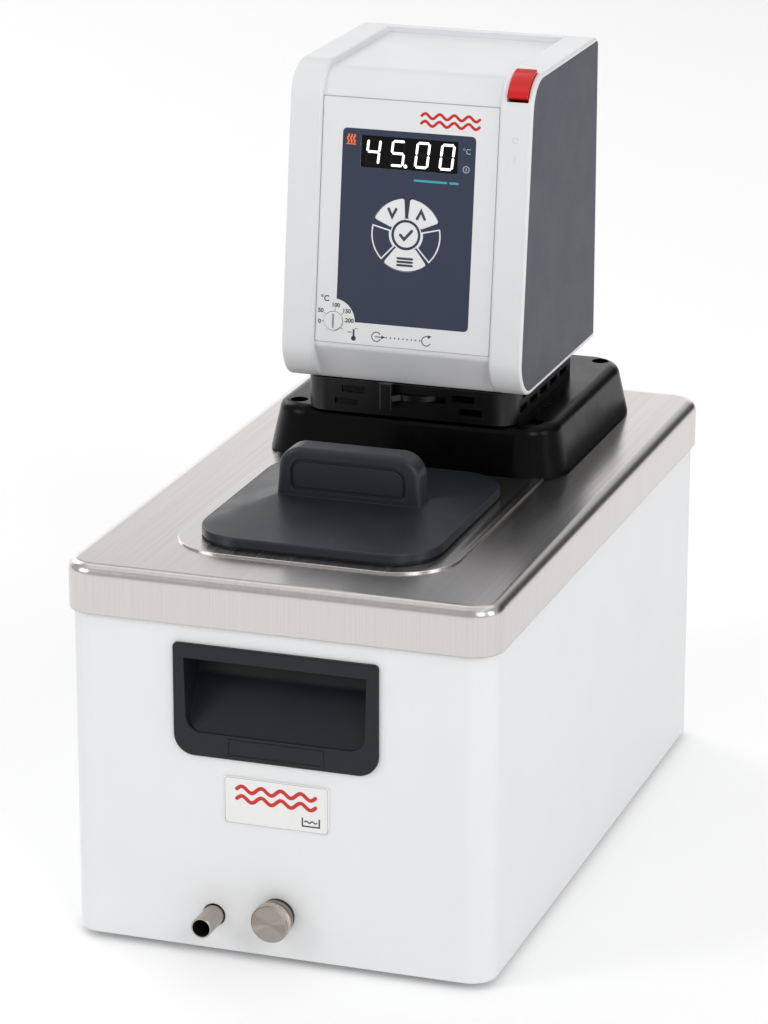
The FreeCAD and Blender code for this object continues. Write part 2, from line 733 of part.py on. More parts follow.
def make_tank():
    sheet = dims.tank_sheet
    flange_low = cover_under - sheet
    shell = new_body("tank_shell")
    pad(shell, "XY", tank_under, cover_under,
        [centred(mouth_width + 2 * sheet, mouth_front - sheet, tank_back + sheet, mouth_corner + sheet)])
    soften(shell, dims.tank_bend + sheet, lambda edge: lies_at(edge, 2, tank_under))
    grow = dims.tank_flange
    pad(shell, "XY", flange_low, cover_under,
        [centred(mouth_width + 2 * grow, mouth_front - grow, tank_back + grow, mouth_corner + grow)])
    pocket(shell, "XY", tank_under - 1, tank_floor + 1, circles=[(0.0, outlet_y(), dims.hose_bore)])
    core = new_body("tank_core")
    pad(core, "XY", tank_floor, cover_under + 1,
        [centred(mouth_width, mouth_front, tank_back, mouth_corner)])
    soften(core, dims.tank_bend, lambda edge: lies_at(edge, 2, tank_floor))
    cut("bath_tank", shell, core)


def outlet_y():
    return cover_front + dims.outlet_setback


def make_insulation():
    body = new_body("tank_insulation")
    sheet = dims.tank_sheet
    grow = dims.foam + sheet
    top = cover_under - sheet - 8
    pad(body, "XY", tank_under - dims.foam, top,
        [centred(mouth_width + 2 * grow, mouth_front - grow, tank_back + grow, mouth_corner + grow)])
    pocket(body, "XY", tank_under, top + 1,
           [centred(mouth_width + 2 * sheet, mouth_front - sheet, tank_back + sheet,
                    mouth_corner + sheet)])
    pocket(body, "XY", tank_under - dims.foam - 1, tank_under + 1,
           circles=[(0.0, outlet_y(), dims.hose_radius + 1)])
    node(body, "tank_insulation")


def make_grip(name, front):
    """A recessed grip; front is True for the one under the lid, False for the one behind."""
    side = 1 if front else -1
    face = casing_front if front else -1 * casing_back
    body = new_body(f"{name}_block")
    frame_front = face - dims.grip_proud
    box_back = face + dims.grip_depth + dims.grip_wall
    pad(body, "XZ", frame_front, face, [grip_outline()])
    soften(body, 0.9, lambda edge: lies_at(edge, 1, frame_front))
    pad(body, "XZ", face, box_back, [grip_box()])
    low = dims.grip_low + dims.grip_under
    high = dims.grip_high - dims.grip_over
    half_high = dims.grip_width / 2 - dims.grip_side
    half_low = dims.grip_width / 2 - dims.grip_side_low
    wedge = [(frame_front - 1, low - 1.2, 0.0), (frame_front + 1, low, 0.0),
             (face + dims.grip_depth - 5, high - 14, 6.0), (face + dims.grip_depth, high + dims.grip_undercut, 2.0),
             (face + dims.grip_proud + 2, high + dims.grip_undercut, 2.0),
             (face + dims.grip_proud + 2, high, 1.5), (frame_front - 1, high, 0.0)]
    hollow = new_body(f"{name}_hollow")
    pad(hollow, "YZ", -half_high, half_high, [wedge])
    column = new_body(f"{name}_column")
    bend = dims.grip_mouth_corner
    deep = [(-half_low, low, bend), (half_low, low, bend), (half_high, high, 0.0),
            (half_high, high + dims.grip_undercut, 1.5), (-half_high, high + dims.grip_undercut, 1.5),
            (-half_high, high, 0.0)]
    pad(column, "XZ", frame_front - 1, face + dims.grip_depth, [deep])
    recess = doc.addObject("Part::Common", f"{name}_recess")
    recess.Base = hollow
    recess.Tool = column
    doc.recompute()
    result = doc.addObject("Part::Cut", name)
    result.Base = body
    result.Tool = recess
    if side < 0:
        result.Placement.Rotation = FreeCAD.Rotation(FreeCAD.Vector(0, 0, 1), 180)
    doc.recompute()
    node(result, name)


def make_badge():
    body = new_body("name_badge")
    half = dims.badge_width / 2
    corner = dims.badge_corner
    outline = [(-half, dims.badge_low, corner), (half, dims.badge_low, corner),
               (half, dims.badge_high, 1.5), (-half, dims.badge_high, 1.5)]
    front = casing_front - dims.badge_sheet
    pad(body, "XZ", front, casing_front, [outline])
    soften(body, 0.3, lambda edge: lies_at(edge, 1, front))
    node(body, "name_badge")


# ---------------------------------------------------------------- lid

def make_lid():
    body = new_body("lid_plate")
    middle_y = (lid_front + lid_back) / 2
    plate_low = rim_top + dims.lid_step
    plate_top = plate_low + dims.lid_edge

    def outline(inset):
        return centred(dims.lid_width - 2 * inset, lid_front + inset, lid_back - inset,
                       dims.lid_corner - inset)

    pad(body, "XY", plate_low, plate_top, [outline(0.0)])
    soften(body, 1.2, lambda edge: lies_at(edge, 2, plate_top))
    low = new_sketch(body, "XY", plate_top)
    add_outline(low, outline(1.6))
    high = new_sketch(body, "XY", plate_top + dims.lid_rise)
    half_deep = dims.handle_depth / 2
    add_outline(high, centred(dims.handle_width, middle_y - half_deep, middle_y + half_deep, 1.5))
    crown = body.newObject("PartDesign::AdditiveLoft", "lid_crown")
    crown.Profile = low
    crown.Sections = [high]
    crown.Ruled = True
    doc.recompute()
    pad(body, "XY", rim_top, plate_low, [outline(1.5)])
    lip_inset = dims.lid_overlap + dims.lid_lip_gap
    pad(body, "XY", rim_top - dims.lid_lip, rim_top, [outline(lip_inset)])
    pocket(body, "XY", rim_top - dims.lid_lip - 1, rim_top + 1, [outline(lip_inset + 3)])
    lid = doc.addObject("Part::Fuse", "lid")
    lid.Base = body
    lid.Tool = make_handle(middle_y, plate_top + dims.lid_rise)
    doc.recompute()
    node(lid, "lid")


def make_handle(middle_y, foot):
    """The lid's solid handle: a rounded block with a bordered panel on its front and back."""
    body = new_body("lid_handle")
    half_wide, half_deep = dims.handle_width / 2, dims.handle_depth / 2
    top = foot + dims.handle_height
    lean = 2.0
    sunk = foot - 2
    outline = [(-half_wide, sunk, 0.0), (half_wide, sunk, 0.0),
               (half_wide - lean, top, dims.handle_corner), (-half_wide + lean, top, dims.handle_corner)]
    faces = (middle_y - half_deep, middle_y + half_deep)
    pad(body, "XZ", faces[0], faces[1], [outline])

    def on_face_edge(edge):
        at_face = any(lies_at(edge, 1, level) for level in faces)
        return at_face and edge.BoundBox.ZMax > foot.value + 0.5

    soften(body, dims.handle_soft, on_face_edge)
    border = dims.handle_border
    groove, panel, deep = 1.6, 0.5, 1.5

    def ring(inset):
        half = half_wide - lean - border - inset
        low, high = foot + 3 + inset, top - border - inset
        return [(-half, low, 3.0 - inset / 2), (half, low, 3.0 - inset / 2),
                (half, high, dims.handle_corner - border - inset / 2 + 1),
                (-half, high, dims.handle_corner - border - inset / 2 + 1)]

    pocket(body, "XZ", faces[0] - 1, faces[0] + panel, [ring(0.0)])
    pocket(body, "XZ", faces[0] + panel, faces[0] + deep, [ring(0.0), ring(groove)])
    pocket(body, "XZ", faces[1] - panel, faces[1] + 1, [ring(0.0)])
    pocket(body, "XZ", faces[1] - deep, faces[1] - panel, [ring(0.0), ring(groove)])
    return body


# ---------------------------------------------------------------- bridge

def bridge_screw_spots():
    inset = dims.bridge_hole_inset
    for x in (-bridge_width / 2 + inset, bridge_width / 2 - inset):
        for y in (bridge_front + inset, bridge_back - inset):
            yield x, y


def make_bridge():
    body = new_body("bridge")
    block = pad(body, "XY", rim_top, bridge_top,
                [centred(bridge_width, bridge_front, bridge_back, dims.bridge_corner)])
    lean = body.newObject("PartDesign::Draft", "bridge_lean")
    lean.Base = (block, faces_of(block, lambda face: level_span(face) > 1))
    lean.NeutralPlane = (block, faces_of(block, lambda face: face.BoundBox.ZMax < rim_top.value + 0.1))
    bind(lean, "Angle", arctangent(dims.bridge_draft, dims.bridge_height))
    lean.Reversed = False
    doc.recompute()
    soften(body, dims.bridge_edge, lambda edge: lies_at(edge, 2, bridge_top))
    cavity = centred(bridge_width - 2 * dims.bridge_shoulder, bridge_front + dims.bridge_wall,
                     bridge_back - dims.bridge_wall, 6.0)
    pocket(body, "XY", rim_top - 1, roof_under, [cavity])
    gap = dims.fit_gap
    well_front = bridge_front + dims.unit_setback
    well = centred(dims.unit_width + 2 * gap, well_front - gap, well_front + dims.unit_length + gap, 4.0)
    pocket(body, "XY", rim_top - 1, bridge_top + 1, [well])
    recess_low = bridge_top - dims.bridge_hole_depth
    pocket(body, "XY", recess_low, bridge_top + 1,
           circles=[(x, y, dims.bridge_hole) for x, y in bridge_screw_spots()])
    pocket(body, "XY", rim_top - 1, recess_low + 1,
           circles=[(x, y, 2.2) for x, y in bridge_screw_spots()])
    port_z = rim_top + dims.port_level
    pocket(body, "XZ", bridge_back - dims.bridge_wall - 1, bridge_back + 2,
           circles=[(side * dims.pipe_side, port_z, dims.port_collar) for side in (-1, 1)])
    node(body, "bridge")


def make_bridge_gasket():
    """The dark seal that carries the bridge on the cover beside and behind the rim plate."""
    body = new_body("bridge_gasket")
    inset = dims.gasket_inset
    half = bridge_width / 2 - inset
    front, back = bridge_front + inset, bridge_back - inset
    rim_half = dims.lid_width / 2 + dims.rim_overlap
    rim_back = tank_back + dims.tank_flange + 8
    corner = dims.bridge_corner - inset
    pad(body, "XY", dims.cover_top, rim_top,
        [[(-half, front, corner), (half, front, corner), (half, back, corner), (-half, back, corner)]])
    gap = dims.fit_gap
    plate = centred(2 * rim_half + 2 * gap, front - 5, rim_back + gap)
    pocket(body, "XY", dims.cover_top - 1, rim_top + 1, [plate])
    pocket(body, "XY", dims.cover_top - 1, rim_top + 1,
           circles=[(x, y, 2.2) for x, y in bridge_screw_spots()])
    node(body, "bridge_gasket")


def make_bridge_screws():
    head_low = bridge_top - dims.bridge_hole_depth
    tip = cover_under - 5
    profile = [(0.0, tip), (1.2, tip), (2.0, tip + 1.5), (2.0, head_low), (3.8, head_low),
               (3.8, head_low + 2), (3.2, head_low + 3), (1.7, head_low + 3), (1.7, head_low + 1.6),
               (0.0, head_low + 1.6)]
    screws = [turned_body("bridge_screw", profile, (x, y, 0)) for x, y in bridge_screw_spots()]
    group("bridge_screws", screws)


# ---------------------------------------------------------------- control head

def face_line(depth, height):
    """Y of the plane a depth behind the flanks' front plane, at a height above the head's foot."""
    tilt = dims.face_tilt
    return head_front + height * sine(tilt) / cosine(tilt) + depth / cosine(tilt)


def make_head_base():
    body = new_body("head_base")
    width, wall, corner = dims.base_width, dims.base_wall, dims.base_corner
    back = base_front + dims.base_length
    floor_top = bridge_top + dims.base_floor
    outer = centred(width, base_front, back, corner)
    inner = centred(width - 2 * wall, base_front + wall, back - wall, corner - wall)
    pad(body, "XY", bridge_top, floor_top, [outer])
    pad(body, "XY", floor_top, head_foot, [outer, inner])
    rows = (floor_top + 1.2, floor_top + 8.2)
    slot_high, slot_long, step = 3.6, 13.0, 18.5
    side_slots, front_slots = [], []
    for row, low in enumerate(rows):
        for index in range(5):
            start = base_front + corner + 1 + index * step + row * step / 4
            side_slots.append(box_corners(start, start + slot_long, low, low + slot_high))
        for side in (-1, 1):
            middle = side * (width / 2 - corner - 12 - row * 4)
            front_slots.append(box_corners(middle - slot_long / 2, middle + slot_long / 2, low, low + slot_high))
    pocket(body, "YZ", -width / 2 - 1, width / 2 + 1, side_slots)
    pocket(body, "XZ", base_front - 1, base_front + wall + 1, front_slots)
    slot_low = bridge_top + dims.lever_level - 0.4
    slot_top = slot_low + dims.lever_sheet + 0.8
    reach = dims.lever_disc + 2
    pocket(body, "XZ", base_front - 1, base_front + wall + 2,
           [box_corners(dims.lever_side - reach, dims.lever_side + reach, slot_low, slot_top)])
    holes = [(0.0, axis_y, dims.shaft_radius + 2), (dims.lever_side, lever_y, dims.lever_shaft + dims.running_gap)]
    pocket(body, "XY", bridge_top - 1, floor_top + 1, circles=holes)
    node(body, "head_base")


def flank_profile(grow=0.0):
    """The head from the side, as corners (y, z, radius)."""
    low, high = head_foot - grow, head_top + grow
    tilt = dims.face_tilt
    lean = sine(tilt) / cosine(tilt)
    front_low = face_line(-1 * grow if isinstance(grow, Size) else -grow, 0.0) - grow * lean
    front_high = front_low + (dims.head_height + 2 * grow) * lean
    radius = dims.flank_radius + grow
    return [(head_back, low, 0.0), (front_low, low, radius), (front_high, high, radius),
            (head_back, high, dims.head_back_edge + grow)]


def make_head_housing():
    body = new_body("head_shell")
    half = dims.head_width / 2
    pad(body, "YZ", -half, half, [flank_profile()])

    def on_outer_side(edge):
        at_side = any(lies_at(edge, 0, level) for level in (-half, half))
        return at_side and edge.BoundBox.YMin < head_back.value - 1

    soften(body, dims.flank_edge, on_outer_side)
    depth = dims.channel_depth
    channel_half = half - dims.flank_width
    tray = head_top - dims.tray_depth
    channel_top = dims.head_height - dims.tray_depth
    chin_top = dims.chin_height
    chin_back = face_line(depth, chin_top) + dims.chin_run
    slide = dims.chin_run / dims.chin_height
    ahead = head_front - 20
    channel = [(ahead, head_foot - 4, 0.0), (chin_back + 4 * slide, head_foot - 4, 0.0),
               (face_line(depth, chin_top), head_foot + chin_top, 4.0),
               (face_line(depth, channel_top), tray, dims.flank_radius - depth),
               (head_back - dims.tray_border, tray, 0.0), (head_back - dims.tray_border, head_top + 4, 0.0),
               (ahead, head_top + 4, 0.0)]
    pocket(body, "YZ", -channel_half, channel_half, [channel])

    def on_channel_rim(edge):
        if not any(lies_at(edge, 0, level) for level in (-channel_half, channel_half)):
            return False
        middle = edge.valueAt((edge.FirstParameter + edge.LastParameter) / 2)
        if middle.z > tray.value + 0.5 and middle.y > face_line(depth, channel_top).value:
            return middle.z > head_top.value - 0.5
        shallow = face_line(depth / 2, middle.z - head_foot.value).value
        return middle.y < shallow or middle.z > tray.value + 1

    soften(body, dims.flank_soft, on_channel_rim)
    wall = dims.head_wall
    floor = head_foot + dims.head_floor
    inner = depth + wall
    cavity_top = tray - wall
    cavity_half = half - dims.panel_sheet - wall
    cavity = [(head_back + 1, floor, 0.0), (chin_back + wall + 1 - slide * dims.head_floor, floor, 0.0),
              (face_line(inner, chin_top), head_foot + chin_top, 4.0),
              (face_line(inner, dims.head_height - dims.tray_depth - wall), cavity_top, dims.flank_radius - inner),
              (head_back + 1, cavity_top, 0.0)]
    pocket(body, "YZ", -cavity_half, cavity_half, [cavity])
    opening_back = head_back - dims.tray_border - 20
    pocket(body, "XY", head_foot - 1, floor + 1,
           [centred(dims.base_width - 36, base_front + 14, opening_back, 6.0)])
    margin = dims.panel_margin
    recess = flank_profile(-1 * margin)
    recess[0] = (head_back + 1, recess[0][1], 0.0)
    recess[3] = (head_back + 1, recess[3][1], 0.0)
    pocket(body, "YZ", half - dims.panel_sheet, half + 1, [recess])
    pocket(body, "YZ", -half - 1, -half + dims.panel_sheet, [recess])
    openings = doc.addObject("Part::MultiFuse", "head_openings")
    openings.Shapes = [make_front_openings(), make_switch_opening(), make_axle_bore()]
    doc.recompute()
    cut("head_housing", body, openings)


def make_front_openings():
    """The holes through the front wall for the display, the keys and the cut-out dial."""
    body = tilted_body("front_openings")
    near, far = dims.channel_depth - 1, dims.channel_depth + dims.head_wall + 1.5
    gap = dims.fit_gap
    pad(body, "XZ", near, far,
        [centred(dims.window_width + 2 * gap, dims.window_low - gap, dims.window_high + gap)],
        [(0.0, dims.pad_centre, dims.pad_radius + gap),
         (-dims.dial_side, dims.dial_up, dims.dial_radius + gap)])
    return body


def make_side_panels():
    half = dims.head_width / 2
    gap = 0.15
    outline = flank_profile(-1 * (dims.panel_margin + gap))
    for name, low, high in (("side_panel_right", half - dims.panel_sheet, half - 0.2),
                            ("side_panel_left", -half + 0.2, -half + dims.panel_sheet)):
        body = new_body(name)
        pad(body, "YZ", low, high, [outline])
        node(body, name)


def make_rear_panel():
    body = new_body("rear_panel")
    half = dims.head_width / 2 - dims.panel_sheet - dims.head_wall - 0.15
    low, high = head_foot + dims.head_floor, head_top - dims.tray_depth - dims.head_wall - 0.15
    front = head_back - dims.rear_sheet
    pad(body, "XZ", front, head_back, [centred(2 * half, low, high, 2.0)])
    inlet_x, inlet_z = inlet_place()
    pocket(body, "XZ", front - 1, head_back + 1,
           [box_corners(inlet_x - INLET_HALF[0], inlet_x + INLET_HALF[0],
                        inlet_z - INLET_HALF[1], inlet_z + INLET_HALF[1], 2.0)])
    vents = []
    for index in range(9):
        z = head_top - 34 - index * 7
        vents.append(box_corners(-36.0, 36.0, z, z + 2.6))
    pocket(body, "XZ", front - 1, head_back + 1, vents)
    node(body, "rear_panel")


INLET_HALF = (13.5, 9.7)


def inlet_place():
    return -28.0, head_foot + 26


def make_mains_inlet():
    """An appliance inlet: a flanged shroud with three flat pins."""
    x, z = inlet_place()
    body = new_body("mains_inlet")
    face = head_back + 1.5
    half_x, half_z = INLET_HALF
    gap = 0.15
    flange = box_corners(x - half_x - 5, x + half_x + 5, z - half_z - 3, z + half_z + 3, 3.0)
    pad(body, "XZ", head_back, face, [flange])
    pad(body, "XZ", head_back - 16, head_back,
        [box_corners(x - half_x + gap, x + half_x - gap, z - half_z + gap, z + half_z - gap, 2.0)])
    wall = 1.6
    pocket(body, "XZ", head_back - 13, face + 1,
           [box_corners(x - half_x + wall, x + half_x - wall, z - half_z + wall, z + half_z - wall, 2.0)])
    pin_wide, pin_high = 1.0, 2.0
    pins = [box_corners(x + dx - pin_wide, x + dx + pin_wide, z + dz - pin_high, z + dz + pin_high)
            for dx, dz in ((-7.0, -2.0), (0.0, 2.0), (7.0, -2.0))]
    pad(body, "XZ", head_back - 13.5, head_back - 1, pins)
    node(body, "mains_inlet")


# ---------------------------------------------------------------- front panel

def make_front_label():
    """The printed foil between the flanks, with holes for the window, keys and dial."""
    body = tilted_body("front_label")
    back = dims.channel_depth
    front = back - dims.label_sheet
    half = dims.head_width / 2 - dims.flank_width - dims.label_gap
    gap = dims.fit_gap
    outline = box_corners(-half, half, dims.label_low, dims.label_high, 1.0)
    window = centred(dims.window_width, dims.window_low, dims.window_high)
    holes = [(0.0, dims.pad_centre, dims.pad_radius + gap),
             (-dims.dial_side, dims.dial_up, dims.dial_radius + gap)]
    pad(body, "XZ", front, back, [outline, window], holes)
    node(body, "front_label")


def board_level():
    """The control board's front, behind the flanks' front plane."""
    return dims.channel_depth + dims.head_wall + 6


def make_display():
    body = tilted_body("display_window")
    front = dims.channel_depth - dims.label_sheet + 0.15
    back = front + dims.window_sheet
    pad(body, "XZ", front, back, [centred(dims.window_width - 0.1, dims.window_low + 0.05, dims.window_high - 0.05)])
    node(body, "display_window")
    module = tilted_body("display_module")
    board_front = board_level()
    pad(module, "XZ", back, board_front,
        [centred(dims.window_width - 1, dims.window_low + 0.5, dims.window_high - 0.5)])
    node(module, "display_module")
    board = tilted_body("control_board")
    half = dims.head_width / 2 - dims.flank_width - 4
    low, high = dims.label_low + 31, dims.label_high - 6
    pad(board, "XZ", board_front, board_front + 1.6, [centred(2 * half, low, high, 2.0)])
    corners = [(side * (half - 4), z) for side in (-1, 1) for z in (low + 4, high - 4)]
    pocket(board, "XZ", board_front - 1, board_front + 3, circles=[(x, z, 1.6) for x, z in corners])
    node(board, "control_board")
    inner = dims.channel_depth + dims.head_wall
    posts = []
    for x, z in corners:
        post = tilted_body("board_post")
        pad(post, "XZ", inner, board_front, circles=[(x, z, 3.0)])
        pad(post, "XZ", board_front, board_front + 1.6, circles=[(x, z, 1.6)])
        posts.append(post)
    return posts


def key_levels():
    front = dims.channel_depth - dims.label_sheet - dims.key_proud
    return front, front + dims.key_sheet, board_level() - dims.key_travel - 0.1


def make_centre_key():
    body = tilted_body("key_confirm")
    front, back, post_end = key_levels()
    pad(body, "XZ", front, back, circles=[(0.0, dims.pad_centre, dims.centre_key)])
    soften(body, 0.25, lambda edge: lies_at(edge, 1, front))
    pad(body, "XZ", back, post_end, circles=[(0.0, dims.pad_centre, dims.key_post)])
    node(body, "key_confirm")


def make_sector_key(name, start, end):
    """One key of the ring round the centre key, between two angles."""
    body = tilted_body(name)
    front, back, post_end = key_levels()
    outer = dims.pad_radius - 0.1
    centre = dims.pad_centre
    pad(body, "XZ", front, back, circles=[(0.0, centre, outer), (0.0, centre, dims.sector_inner)])
    beyond = 2 * outer
    steps = 6
    rest = 360 - (end - start)
    outline = [(0.0, centre, 0.0)]
    for index in range(steps + 1):
        angle = end + rest * index / steps
        outline.append((beyond * cosine(angle), centre + beyond * sine(angle), 0.0))
    pocket(body, "XZ", front - 1, back + 1, [outline])
    soften(body, dims.key_soft, lambda edge: runs_along(edge, 1))
    soften(body, 0.25, lambda edge: lies_at(edge, 1, front))
    middle = (start + end) / 2
    reach = (outer + dims.sector_inner) / 2
    pad(body, "XZ", back, post_end,
        circles=[(reach * cosine(middle), centre + reach * sine(middle), dims.key_post)])
    node(body, name)


def make_dial():
    body = tilted_body("cutout_dial")
    x, z = -dims.dial_side, dims.dial_up
    front = dims.channel_depth - dims.label_sheet - dims.dial_proud
    back = dims.channel_depth + dims.head_wall - 0.5
    pad(body, "XZ", front, back, circles=[(x, z, dims.dial_radius)])
    soften(body, 0.4, lambda edge: lies_at(edge, 1, front))
    half = dims.dial_slot / 2
    long_half = dims.dial_radius - 1.2
    pocket(body, "XZ", front - 1, front + 1.2, [box_corners(x - half, x + half, z - long_half, z + long_half)])
    shaft_end = back + 9
    pad(body, "XZ", back, shaft_end, circles=[(x, z, dims.dial_shaft)])
    node(body, "cutout_dial")
    block = tilted_body("cutout_thermostat")
    block_front = dims.channel_depth + dims.head_wall
    half = 9.0
    pad(block, "XZ", block_front, block_front + 12, [box_corners(x - half, x + half, z - 7.5, z + half)])
    pocket(block, "XZ", block_front - 1, block_front + 10, circles=[(x, z, dims.dial_shaft + dims.running_gap)])
    node(block, "cutout_thermostat")


# ---------------------------------------------------------------- mains switch

def corner_centre():
    """Centre of the flank's front top corner, as Y and Z in the row frame."""
    radius = dims.flank_radius
    z = head_top - radius
    return face_line(radius, dims.head_height - radius), z


def switch_ring(name, outer, inner, width, start, end):
    """A slice of a ring round the corner's centre, between two angles above the front."""
    y, z = corner_centre()
    ring = doc.addObject("Part::Cylinder", f"{name}_outer")
    hole = doc.addObject("Part::Cylinder", f"{name}_inner")
    for item, radius, long in ((ring, outer, width), (hole, inner, width + 2)):
        bind(item, "Radius", radius)
        bind(item, "Height", long)
        item.Placement.Rotation = FreeCAD.Rotation(FreeCAD.Vector(0, 1, 0), 90)
        place(item, (dims.switch_side - long / 2, y, z))
    slice_ = doc.addObject("Part::Cut", f"{name}_ring")
    slice_.Base = ring
    slice_.Tool = hole
    wedge = new_body(f"{name}_wedge")
    far = outer * 1.6
    middle = (start + end) / 2
    outline = [(y, z, 0.0)]
    for angle in (start, middle, end):
        outline.append((y - far * cosine(angle), z + far * sine(angle), 0.0))
    pad(wedge, "YZ", dims.switch_side - width, dims.switch_side + width, [outline])
    result = doc.addObject("Part::Common", f"{name}_slice")
    result.Base = slice_
    result.Tool = wedge
    doc.recompute()
    return result


SWITCH_START = 27.0
SWITCH_END = 84.0


def make_switch_opening():
    gap = 5.0
    inner = dims.flank_radius - dims.switch_depth - 3
    return switch_ring("switch_opening", dims.flank_radius + 6, inner, dims.switch_width + 0.8,
                       SWITCH_START - gap, SWITCH_END + gap)


def make_axle_bore():
    """The blind bore in the head's side wall for the outer end of the rocker's axle."""
    body = new_body("axle_bore")
    bore_end = dims.head_width / 2 - dims.panel_sheet - 0.4
    pivot_y, pivot_z = switch_pivot()
    pad(body, "YZ", bore_end - dims.head_wall, bore_end,
        circles=[(pivot_y, pivot_z, dims.switch_axle + dims.running_gap)])
    return body


def make_mains_switch():
    """The red rocker over the corner, its axle, and the fixed switch body that carries it."""
    y, z = corner_centre()
    outer = dims.flank_radius + dims.switch_proud
    cap = switch_ring("switch_cap", outer, dims.flank_radius - 3.0, dims.switch_width, SWITCH_START, SWITCH_END)
    axle = doc.addObject("Part::Cylinder", "switch_axle")
    axle_left = dims.switch_side - dims.switch_width / 2 - 3
    long = dims.head_width / 2 - dims.panel_sheet - 0.6 - axle_left
    bind(axle, "Radius", dims.switch_axle)
    bind(axle, "Height", long)
    axle.Placement.Rotation = FreeCAD.Rotation(FreeCAD.Vector(0, 1, 0), 90)
    pivot_y, pivot_z = switch_pivot()
    place(axle, (axle_left, pivot_y, pivot_z))
    web = new_body("switch_web")
    middle = (SWITCH_START + SWITCH_END) / 2
    across = 3.2
    reach = dims.flank_radius - 2
    dy, dz = -1 * cosine(middle), sine(middle)
    outline = []
    for along, side in ((0.0, -across), (reach, -across), (reach, across), (0.0, across)):
        if along == 0.0:
            base_y, base_z = pivot_y, pivot_z
        else:
            base_y, base_z = y + dy * along, z + dz * along
        outline.append((base_y + dz * side, base_z - dy * side, 0.0))
    half = dims.switch_width / 2 - 2
    pad(web, "YZ", dims.switch_side - half, dims.switch_side + half, [outline])
    fused = doc.addObject("Part::MultiFuse", "mains_switch")
    fused.Shapes = [cap, web, axle]
    doc.recompute()
    node(fused, "mains_switch")


def switch_pivot():
    """The rocker's axle, on the line from the corner's centre to the middle of the rocker."""
    y, z = corner_centre()
    middle = (SWITCH_START + SWITCH_END) / 2
    reach = dims.flank_radius - dims.switch_depth - 4
    return y - reach * cosine(middle), z + reach * sine(middle)


def make_switch_body():
    """Two cheeks and a back that carry the rocker's axle inside the head."""
    pivot_y, pivot_z = switch_pivot()
    cheek = 3.0
    half = dims.switch_width / 2 + 0.5
    body = new_body("switch_body")
    outline = box_corners(pivot_y - 3.5, pivot_y + 12, pivot_z - 12, pivot_z + 3.5)
    pad(body, "YZ", dims.switch_side - half - cheek, dims.switch_side - half, [outline])
    back = box_corners(pivot_y + 8, pivot_y + 12, pivot_z - 12, pivot_z + 3.5)
    wall = dims.head_width / 2 - dims.panel_sheet - dims.head_wall
    pad(body, "YZ", dims.switch_side - half, wall, [back])
    axle = (pivot_y, pivot_z, dims.switch_axle + dims.running_gap)
    pocket(body, "YZ", dims.switch_side - half - cheek - 1, dims.switch_side - half + 0.5, circles=[axle])
    node(body, "switch_body")


# ---------------------------------------------------------------- circulation lever

def make_lever():
    """The flow selector: a disc in the base's front slot, its tab, and the shaft to the pump."""
    body = new_body("circulation_lever")
    x, y = dims.lever_side, lever_y
    low = bridge_top + dims.lever_level
    high = low + dims.lever_sheet
    pad(body, "XY", low, high, circles=[(x, y, dims.lever_disc)])
    tab_x = x - dims.tab_side
    tab_front = y - dims.tab_reach
    half = dims.tab_width / 2
    pad(body, "XY", low, high, [[(tab_x - half, tab_front + 1, 0.0), (tab_x + half, tab_front + 1, 0.0),
                                 (x + 2, y - 6, 0.0), (x - 6, y + 2, 0.0)]])
    tab_low = low + dims.lever_sheet / 2 + 1 - dims.tab_height / 2
    tab_high = tab_low + dims.tab_height
    tab_deep = 4.0
    pad(body, "XY", tab_low, tab_high,
        [box_corners(tab_x - half, tab_x + half, tab_front, tab_front + tab_deep, 1.2)])
    shaft_low = pump_top + 0.3
    pad(body, "XY", shaft_low, low, circles=[(x, y, dims.lever_shaft)])
    reach = 10.0
    vane = [(x - 3, y, 0.0), (x + 3, y, 0.0), (x + 4.5, y + reach, 2.0), (x - 4.5, y + reach, 2.0)]
    pad(body, "XY", shaft_low, shaft_low + 3, [vane])
    node(body, "circulation_lever")


# ---------------------------------------------------------------- motor and pump

def ring_spots(radius, angles):
    for angle in angles:
        yield radius * cosine(angle), axis_y + radius * sine(angle)


COLUMN_ANGLES = (-20.0, 100.0, 220.0)


def make_unit_plate():
    body = new_body("unit_plate")
    front = bridge_front + dims.unit_setback
    pad(body, "XY", unit_low, bridge_top, [centred(dims.unit_width, front, front + dims.unit_length, 4.0)])
    holes = [(0.0, axis_y, dims.shaft_radius + 2), (dims.lever_side, lever_y, dims.lever_shaft + 0.5)]
    pocket(body, "XY", unit_low - 1, bridge_top + 1, circles=holes)
    node(body, "unit_plate")


def make_pump():
    radius, wall = dims.pump_radius, dims.pump_wall
    low, top = dims.pump_low, pump_top
    cover_low = top - dims.pump_lid
    profile = [(8.0, low), (radius, low), (radius, cover_low), (radius - wall, cover_low),
               (radius - wall, low + wall), (8.0, low + wall)]
    node(turned_body("pump_housing", profile, (0.0, axis_y, 0.0)), "pump_housing")
    cover = new_body("pump_cover")
    pad(cover, "XY", cover_low, top, circles=[(0.0, axis_y, radius)])
    port = (dims.lever_side, lever_y + 7.5, 2.8)
    holes = [(0.0, axis_y, dims.shaft_radius + dims.running_gap), (-dims.pipe_side, pipe_y, dims.pipe_bore), port]
    pocket(cover, "XY", cover_low - 1, top + 1, circles=holes)
    node(cover, "pump_cover")
    columns = [rod("pump_column", dims.column_radius, top, unit_low, x, y)
               for x, y in ring_spots(dims.column_ring, COLUMN_ANGLES)]
    group("pump_columns", columns)


